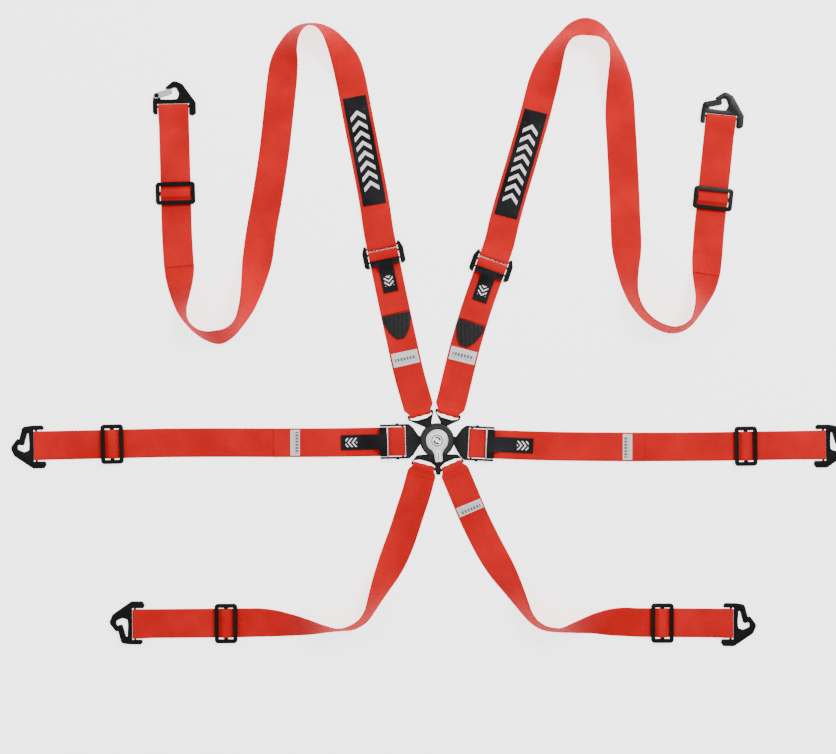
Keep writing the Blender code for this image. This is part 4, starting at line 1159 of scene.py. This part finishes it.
def shoulder_adjuster(side):
    name = "shoulder_adjuster_" + side
    spot = adjuster_spot("shoulder_lower_" + side)
    inner = SHOULDER_WEB / 2 + STRAP_SIDE_GAP
    outer = inner + 8.6
    far_bar = -FAR_BAR
    half = [
        (inner, far_bar - BAR_HALF, 0.5), (inner, far_bar - 5, 0.8), (inner + 4, far_bar - 5, 2),
        (outer, -4, 4), (outer, 20, 4), (inner + 4, 23, 2), (inner, 23, 0.8), (inner, BAR_HALF, 0.5),
    ]
    outline = rounded(spot.outline(half + flipped(half[::-1])))
    slots = []
    for near, far in ((-BAR_HALF, -4.55), (-5.45, far_bar + BAR_HALF)):
        slots.append(spot.outline([(-inner, far), (inner, far), (inner, near), (-inner, near)]))
    cheek = [(inner + 1, 6), (inner + 3.4, 6), (inner + 3.4, 21), (inner + 1, 21)]
    cheeks = [spot.outline(cheek), spot.outline(flipped(cheek))]
    made = frame_with_cheeks(name + "_plate", outline, slots, cheeks)
    body = "shoulder_" + side
    stands_for(made, body, "black_steel", name + "_frame")
    hinge = SHOULDER_HINGE
    clamp_and_tab(
        name, spot, hinge, hinge, 21.5, inner + 5.2, SHOULDER_TAB_TO, body, "shoulder_lever_" + side,
    )


# ---- belts with their ends -----------------------------------------------------------------------
UPPER_TAIL = 68.0        # sewn tails under or over a belt, from its bar
LOWER_TAIL = 80.0
LOWER_FREE = 102.0
LAP_TAIL = 185.0
CROTCH_TAIL = 60.0
CROTCH_END = {"left": 186, "right": 150}
PANEL_FROM = 71.0        # chest panel, along the upper belt
PANEL_LONG = 183.0
PULL_FROM = 104.0        # pull loop, from the adjuster's wrapped bar
PULL_LONG = 42.0
BELTS = {}


def belt_piece(name, belt, body, node, paint=RED, slot="red_webbing", ruffle=0.0, thickness=WEB_T):
    """A belt's webbing, standing in for its node of the frame."""
    ob = belt.solid(name, paint, thickness, ruffle)
    stands_for(ob, body, slot, node)
    belt.width * MM
    belt.long() * MM
    BELTS[name] = belt


def shoulder_belts(side):
    body = "shoulder_" + side
    lower = Belt(ROUTES["shoulder_lower_" + side], SHOULDER_WEB)
    lower.start_under(LOWER_TAIL, 20, NECK_WEB)
    lower.end_over(LOWER_FREE, 27)
    belt_piece("webbing_lower_" + side, lower, body, "shoulder_belt_lower_" + side, ruffle=0.5)

    upper = Belt(ROUTES["shoulder_" + side], SHOULDER_WEB)
    upper.start_under(UPPER_TAIL, 24)
    upper.end_over(BELT_END_TAIL["shoulder_" + side], 35)
    belt_piece("webbing_upper_" + side, upper, body, "shoulder_belt_upper_" + side)

    panel = Belt(ROUTES["shoulder_" + side], PANEL_W)
    over = WEB_T / 2 + 0.45
    panel.run(PANEL_FROM, UPPER_TAIL + 4, MID + over)
    panel.run(UPPER_TAIL + 4, UPPER_TAIL + 24, MID + over, LOW + over)
    panel.run(UPPER_TAIL + 24, PANEL_FROM + PANEL_LONG, LOW + over)
    belt_piece(
        "panel_" + side, panel, body, "shoulder_panel_" + side,
        paint=PANEL, slot="black_webbing", thickness=0.8,
    )

    spot = adjuster_spot("shoulder_lower_" + side)
    end = PULL_FROM + PULL_LONG
    loop = rounded(spot.outline([
        (-24, PULL_FROM, 1), (24, PULL_FROM, 1), (23.5, PULL_FROM + 12, 5),
        (16, PULL_FROM + 30, 8), (7, end, 6), (-7, end, 6),
        (-16, PULL_FROM + 30, 8), (-23.5, PULL_FROM + 12, 5),
    ]), 6)
    z = LOW + WEB_T / 2 + GAP
    pull = plate("pull_loop_" + side, [loop], z, z + 2.2, PULL, 0.9)
    stands_for(pull, body, "black_webbing", "shoulder_pull_" + side)


def lap_belt(side):
    belt = Belt(ROUTES["lap_" + side], LAP_WEB)
    belt.start_under(LAP_TAIL)
    belt.end_over(FREE_TAIL[side], 42)
    body = LAP_BODY[side]
    belt_piece("webbing_lap_" + side, belt, body, "lap_belt_" + side)


def crotch_belt(side):
    belt = Belt(ROUTES["crotch_" + side], LAP_WEB)
    belt.start_under(CROTCH_TAIL, 20, NECK_WEB)
    belt.end_under(CROTCH_END[side])
    belt_piece("webbing_crotch_" + side, belt, "crotch", "crotch_belt_" + side, ruffle=0.5)


# ---- hooks and gates -----------------------------------------------------------------------------
GATE_PIVOT = (-26.8, 18.6)
GATE_LEAN = 15.0


def snap_hook(belt):
    """A flat hook whose rear bar carries the belt; +Y is towards its tip, the gate is on the left."""
    mirror = flipped if belt == "lap_left" else list
    inner = SHOULDER_WEB / 2 + STRAP_SIDE_GAP
    outline = [
        (inner, -BAR_HALF, 0.8), (inner, -14.5, 2), (31.6, -16.6, 3), (37.9, -12.6, 3), (37.9, 6, 4),
        (16.4, 37.2, 8), (2.5, 43.5, 8), (-12.6, 31.8, 2.2), (-11, 27.5, 1), (-3.7, 27.5, 1.5),
        (0, 30.8, 2), (5.5, 31, 3), (10.2, 20.5, 4), (7.2, 12.4, 3), (-2.5, 11.8, 2), (-20.5, 12.6, 1.5),
        (-21.9, 22.8, 4), (-31.8, 23.5, 4.5), (-33.9, 9, 4), (-34.2, -9.5, 3), (-31, -13, 2),
        (-inner, -12, 1.2), (-inner, -BAR_HALF, 0.8),
    ]
    slot = [(-inner, BAR_HALF), (inner, BAR_HALF), (inner, SLOT_EDGE), (-inner, SLOT_EDGE)]
    shell = Shell()
    loops = [rounded(mirror(outline)), mirror(slot)]
    half = HOOK_T / 2
    bottoms, tops = plate_rings(shell, loops, -half, half, 1.0)
    px, py = mirror([GATE_PIVOT])[0]
    for sign, rings in ((-1, bottoms), (1, tops)):
        under = half + 2 * GAP + GATE_SIDE
        foot = shell.ring(circle(px, py, 2.2, 32), sign * half)
        levels = [
            (2.2, under), (3.9, under), (3.9, under + 0.15), (3.5, under + 0.4), (2.4, under + 0.5),
        ]
        turns = shell.walls([(circle(px, py, r, 32), sign * z) for r, z in levels])
        shell.wall(foot, turns[0])
        shell.cap(turns[-1])
        shell.cap(*rings, foot)
    spot = hook_spot(belt)
    ob = shell.finish("snap_" + belt, STEEL, spot.place(0, 0, AXIS_Z))
    stands_for(ob, "hook_" + belt, "black_steel", "hook_" + belt)
    return spot


def gate(belt, spot):
    """A folded sheet gate that straddles the hook plate and turns on its rivet."""
    mirror = flipped if belt == "lap_left" else list
    outline = rounded([
        (-4.9, -4.9, 4.6), (26, -4.3, 2.5), (26.6, 3.4, 2.5), (20, 5.1, 3), (-4.9, 4.9, 4.6),
    ])
    web = [(6.5, 3.4), (16, 3.4), (16, 4.5), (6.5, 4.5)]
    hole = circle(0, 0, 2.5, 24)
    dimple = circle(19.5, 0.4, 1.5, 20)
    loops = (outline, hole, web, dimple)
    loops = [mirror([turned(x, y, GATE_LEAN) for x, y in loop]) for loop in loops]
    near = HOOK_T / 2 + GAP
    far = near + GATE_SIDE
    shell = Shell()
    links = []
    if area(loops[0]) < 0:
        loops[0] = loops[0][::-1]
    for sign in (-1, 1):
        inner = [shell.ring(loop, sign * near) for loop in loops[:2]]
        edge = shell.walls([(loops[0], sign * (far - 0.25)), (inset(loops[0], 0.25), sign * far)])
        face_hole = shell.ring(loops[1], sign * far)
        shell.wall(inner[0], edge[0])
        shell.wall(inner[1], face_hole)
        link = shell.ring(loops[2], sign * near)
        punch = shell.ring(loops[3], sign * far)
        floor = shell.ring(loops[3], sign * (far - 0.4))
        shell.wall(punch, floor)
        shell.cap(floor)
        shell.cap(edge[1], face_hole, punch)
        shell.cap(*inner, link)
        links.append(link)
    shell.wall(*links)
    px, py = mirror([GATE_PIVOT])[0]
    silver = belt == "shoulder_left"
    ob = shell.finish("gate_sheet_" + belt, SILVER if silver else STEEL, spot.place(px, py, AXIS_Z))
    stands_for(ob, "gate_" + belt, "silver_metal" if silver else "black_steel", "gate_" + belt)


# ---- sliders -------------------------------------------------------------------------------------
SLIDER_Z = PAIR + WEB_T + GAP


def slider(belt):
    """A three-bar slider over the belt's two layers, and the webbing over its middle bar."""
    shell = Shell()
    a = SLIDER_LONG / 2
    b = SLIDER_WIDE / 2
    w = SLIDER_INNER
    h = SLIDER_WINDOW / 2
    bar = SLIDER_BAR / 2
    bar_top = SLIDER_Z + 1.3
    top = SLIDER_Z + SLIDER_T
    outline = rounded([(-a, -b, 6), (a, -b, 6), (a, b, 6), (-a, b, 6)], 8)
    levels = [(inset(outline, 1.0), SLIDER_Z)]
    for k in range(1, 5):
        t = math.pi / 2 * k / 4
        levels.append((inset(outline, 1.0 - math.sin(t)), SLIDER_Z + 1.0 - math.cos(t)))
    for k in range(5):
        t = math.pi / 2 * k / 4
        levels.append((inset(outline, 1.0 - math.cos(t)), top - 1.0 + math.sin(t)))
    rings = shell.walls(levels)
    window = [(-w, -bar), (-w, -h), (w, -h), (w, -bar), (w, bar), (w, h), (-w, h), (-w, bar)]
    sill = shell.ring(window, bar_top)
    brim = shell.ring(window, top)
    floor = shell.ring(window, SLIDER_Z)
    shell.wall(sill, brim)
    shell.cap(rings[-1], brim)
    for part in (slice(0, 4), slice(4, 8)):
        shell.wall(floor[part], sill[part])
    shell.bm.faces.new((sill[0], sill[3], sill[4], sill[7]))
    shell.cap(rings[0], floor[0:4], floor[4:8])
    spot = slider_spot(belt)
    ob = shell.finish("slide_bar_" + belt, STEEL, spot.place(0, 0, 0))
    stands_for(ob, "slider_" + belt, "black_steel", "slider_" + belt)

    rest = PAIR + WEB_T / 2
    crown = bar_top + GAP + WEB_T / 2 + 0.2
    profile = []
    for k in range(-24, 25):
        y = 16.5 * k / 24
        t = abs(y)
        if t > 10.8:
            z = rest
        elif t > 3.4:
            z = rest + (crown - rest) * ease((10.8 - t) / 7.4)
        else:
            z = crown
        profile.append((y, z))
    width = SHOULDER_WEB if belt.startswith("shoulder") else LAP_WEB
    turn = ribbon("slide_webbing_" + belt, profile, width, WEB_T, RED, spot.place(0, 0, 0))
    stands_for(turn, "slider_" + belt, "red_webbing", "slider_turn_" + belt)
    width * MM


# ---- stitches and labels -------------------------------------------------------------------------
def stitching_tree():
    """Small stitches along lines: each lies along its line, its top towards the point's lift."""
    tree = bpy.data.node_groups.new("stitching", "GeometryNodeTree")
    face = tree.interface
    face.new_socket(name="Geometry", in_out="INPUT", socket_type="NodeSocketGeometry")
    for name in ("Pitch", "Long", "Thick"):
        face.new_socket(name=name, in_out="INPUT", socket_type="NodeSocketFloat")
    face.new_socket(name="Thread", in_out="INPUT", socket_type="NodeSocketMaterial")
    face.new_socket(name="Geometry", in_out="OUTPUT", socket_type="NodeSocketGeometry")

    def node(kind, feeds=None, **settings):
        """A node with its settings, and its inputs fed from outputs or set to values."""
        made = tree.nodes.new(kind)
        for key, value in settings.items():
            setattr(made, key, value)
        for key, value in (feeds or {}).items():
            if isinstance(value, bpy.types.NodeSocket):
                tree.links.new(value, made.inputs[key])
            else:
                made.inputs[key].default_value = value
        return made.outputs

    start = node("NodeGroupInput")
    curve = node("GeometryNodeMeshToCurve", {0: start["Geometry"]})
    even = node(
        "GeometryNodeResampleCurve", {"Curve": curve[0], "Length": start["Pitch"]}, mode="LENGTH",
    )
    stitch = node("GeometryNodeMeshIcoSphere", {"Radius": 0.5, "Subdivisions": 1})
    size = node("ShaderNodeCombineXYZ", {0: start["Long"], 1: start["Thick"], 2: start["Thick"]})
    lift = node("GeometryNodeInputNamedAttribute", {"Name": "lift"}, data_type="FLOAT_VECTOR")
    tangent = node("GeometryNodeInputTangent")
    along = node("FunctionNodeAlignRotationToVector", {"Vector": tangent[0]}, axis="X")
    upright = node(
        "FunctionNodeAlignRotationToVector", {"Rotation": along[0], "Vector": lift["Attribute"]},
        axis="Z", pivot_axis="X",
    )
    spread = node("GeometryNodeInstanceOnPoints", {
        "Points": even[0], "Instance": stitch[0], "Rotation": upright[0], "Scale": size[0],
    })
    real = node("GeometryNodeRealizeInstances", {0: spread[0]})
    paint = node("GeometryNodeSetMaterial", {"Geometry": real[0], "Material": start["Thread"]})
    node("NodeGroupOutput", {0: paint[0]})
    return tree


class Sewing:
    """Stitched lines that ride on one body."""

    tree = None

    def __init__(self, name, body, paint, slot, pitch=2.6, long=1.9, thick=0.55):
        self.name = name
        self.body = body
        self.slot = slot
        self.values = {
            "Pitch": pitch * MM, "Long": long * MM, "Thick": thick * MM, "Thread": paint.material,
        }
        self.lines = []

    def line(self, belt, places, z):
        """A line through (distance, across) places on top of a layer whose middle is at height z."""
        points = []
        for (s0, a0), (s1, a1) in zip(places, places[1:]):
            count = max(1, int(math.hypot(s1 - s0, a1 - a0) / 2.5))
            for k in range(count):
                points.append((s0 + (s1 - s0) * k / count, a0 + (a1 - a0) * k / count))
        points.append(places[-1])
        made = []
        for s, across in points:
            height = z(s) if callable(z) else z
            spot, out = belt.on_top(s, across, height)
            made.append((spot + out * (WEB_T / 2 + 0.05) * MM, out))
        self.lines.append(made)

    def rows(self, belt, s0, s1, half, z, count):
        """Parallel rows across the belt."""
        for k in range(count):
            s = s0 + (s1 - s0) * k / (count - 1)
            self.line(belt, [(s, -half), (s, half)], z)

    def zigzag(self, belt, s0, s1, half, z, turns=4):
        """A boxed W pattern, as sewn by a bar tacker."""
        self.line(belt, [(s0, -half), (s1, -half), (s1, half), (s0, half), (s0, -half)], z)
        places = []
        for k in range(2 * turns + 1):
            places.append((s1 if k % 2 else s0, -half + 2 * half * k / (2 * turns)))
        self.line(belt, places, z)

    def sew(self):
        if Sewing.tree is None:
            Sewing.tree = stitching_tree()
        mesh = bpy.data.meshes.new(self.name)
        verts = [spot for made in self.lines for spot, _ in made]
        edges = []
        first = 0
        for made in self.lines:
            edges += [(first + i, first + i + 1) for i in range(len(made) - 1)]
            first += len(made)
        mesh.from_pydata(verts, edges, [])
        lift = mesh.attributes.new("lift", "FLOAT_VECTOR", "POINT")
        for i, (_, out) in enumerate(pair for made in self.lines for pair in made):
            lift.data[i].vector = out
        ob = bpy.data.objects.new(self.name, mesh)
        bpy.context.scene.collection.objects.link(ob)
        step = ob.modifiers.new("stitching", "NODES")
        step.node_group = Sewing.tree
        for item in Sewing.tree.interface.items_tree:
            if item.in_out == "INPUT" and item.name in self.values:
                step[item.identifier] = self.values[item.name]
        graph = bpy.context.evaluated_depsgraph_get()
        graph.update()
        stitched = bpy.data.meshes.new_from_object(ob.evaluated_get(graph))
        ob.modifiers.remove(step)
        ob.data = stitched
        stitched.shade_smooth()
        stands_for(ob, self.body, self.slot)


def label(name, belt, s0, s1, half, z, body):
    """A woven label lying on a layer whose middle is at height z."""
    patch = Belt(belt.route, 2 * half)
    over = WEB_T / 2 + 0.22
    count = 6
    for k in range(count + 1):
        s = s0 + (s1 - s0) * k / count
        patch.put(s, (z(s) if callable(z) else z) + over)
    ob = patch.solid(name, LABEL, 0.4)
    stands_for(ob, body, "black_webbing")
    2 * half * MM
    abs(s1 - s0) * MM


def slope(s0, z0, s1, z1):
    """A height that eases from z0 at s0 to z1 at s1."""
    def height(s):
        t = min(1.0, max(0.0, (s - s0) / (s1 - s0)))
        return z0 + (z1 - z0) * ease(t)
    return height


def sew_shoulder(side):
    body = "shoulder_" + side
    red = Sewing("seams_shoulder_" + side, body, RED_THREAD, "red_webbing")
    upper = BELTS["webbing_upper_" + side]
    lower = BELTS["webbing_lower_" + side]
    red.rows(upper, 30, 60, 20, MID, 6)
    for across in (-20, 20):
        red.line(upper, [(28, across), (63, across)], MID)
    tail = upper.route.length - BELT_END_TAIL["shoulder_" + side]
    red.zigzag(upper, tail + 3, tail + 23, 21, MID)
    red.rows(upper, 262, 286, 22, LOW, 9)
    red.zigzag(lower, 42, 74, 20, MID, 5)
    free = lower.route.length - LOWER_FREE
    red.rows(lower, free + 2.5, free + 8.5, 22, MID, 3)
    red.sew()
    black = Sewing("seams_panel_" + side, body, BLACK_THREAD, "black_webbing", 2.2, 1.7, 0.45)
    panel = BELTS["panel_" + side]
    top = slope(UPPER_TAIL + 4, MID + 0.55, UPPER_TAIL + 24, LOW + 0.55)
    edge = PANEL_W / 2 - 1.6
    black.line(panel, [(73, -edge), (252, -edge), (252, edge), (73, edge), (73, -edge)], top)
    black.sew()
    label("label_shoulder_" + side, lower, *SHOULDER_LABEL[side], 22.0, MID, body)


SHOULDER_LABEL = {"left": (84, 107), "right": (88, 110)}


def sew_lap(side):
    body = LAP_BODY[side]
    belt = BELTS["webbing_lap_" + side]
    red = Sewing("seams_lap_" + side, body, RED_THREAD, "red_webbing")
    free = belt.route.length - FREE_TAIL[side]
    red.rows(belt, free + 2.5, free + 24, 21, MID, 9)
    red.sew()
    start = free + (28 if side == "left" else 20)
    label("label_lap_" + side, belt, start, start + 15.5, 21.5, MID, body)


def sew_crotch():
    red = Sewing("seams_crotch", "crotch", RED_THREAD, "red_webbing")
    for side, tail in CROTCH_END.items():
        belt = BELTS["webbing_crotch_" + side]
        red.zigzag(belt, 36, 57, 20, MID, 4)
        last = belt.route.length
        red.zigzag(belt, last - tail + 4, last - tail + 30, 20, MID, 4)
    red.sew()
    belt = BELTS["webbing_crotch_right"]
    label("label_crotch", belt, 68, 84, 21.5, slope(64, MID, 84, LOW), "crotch")


# ---- the whole harness ---------------------------------------------------------------------------
studio()
buckle()
crotch_tongue()
for side in SIDES:
    shoulder_tongue(side)
    shoulder_adjuster(side)
    lap_adjuster(side)
    shoulder_belts(side)
    lap_belt(side)
    crotch_belt(side)
    for belt in ("shoulder_" + side, "lap_" + side, "crotch_" + side):
        gate(belt, snap_hook(belt))
        slider(belt)
for side in SIDES:
    sew_shoulder(side)
    sew_lap(side)
sew_crotch()

for node in ("latch_plate", "spindle"):
    for place in bpy.data.objects[node].material_slots:
        place.material = INNER.material
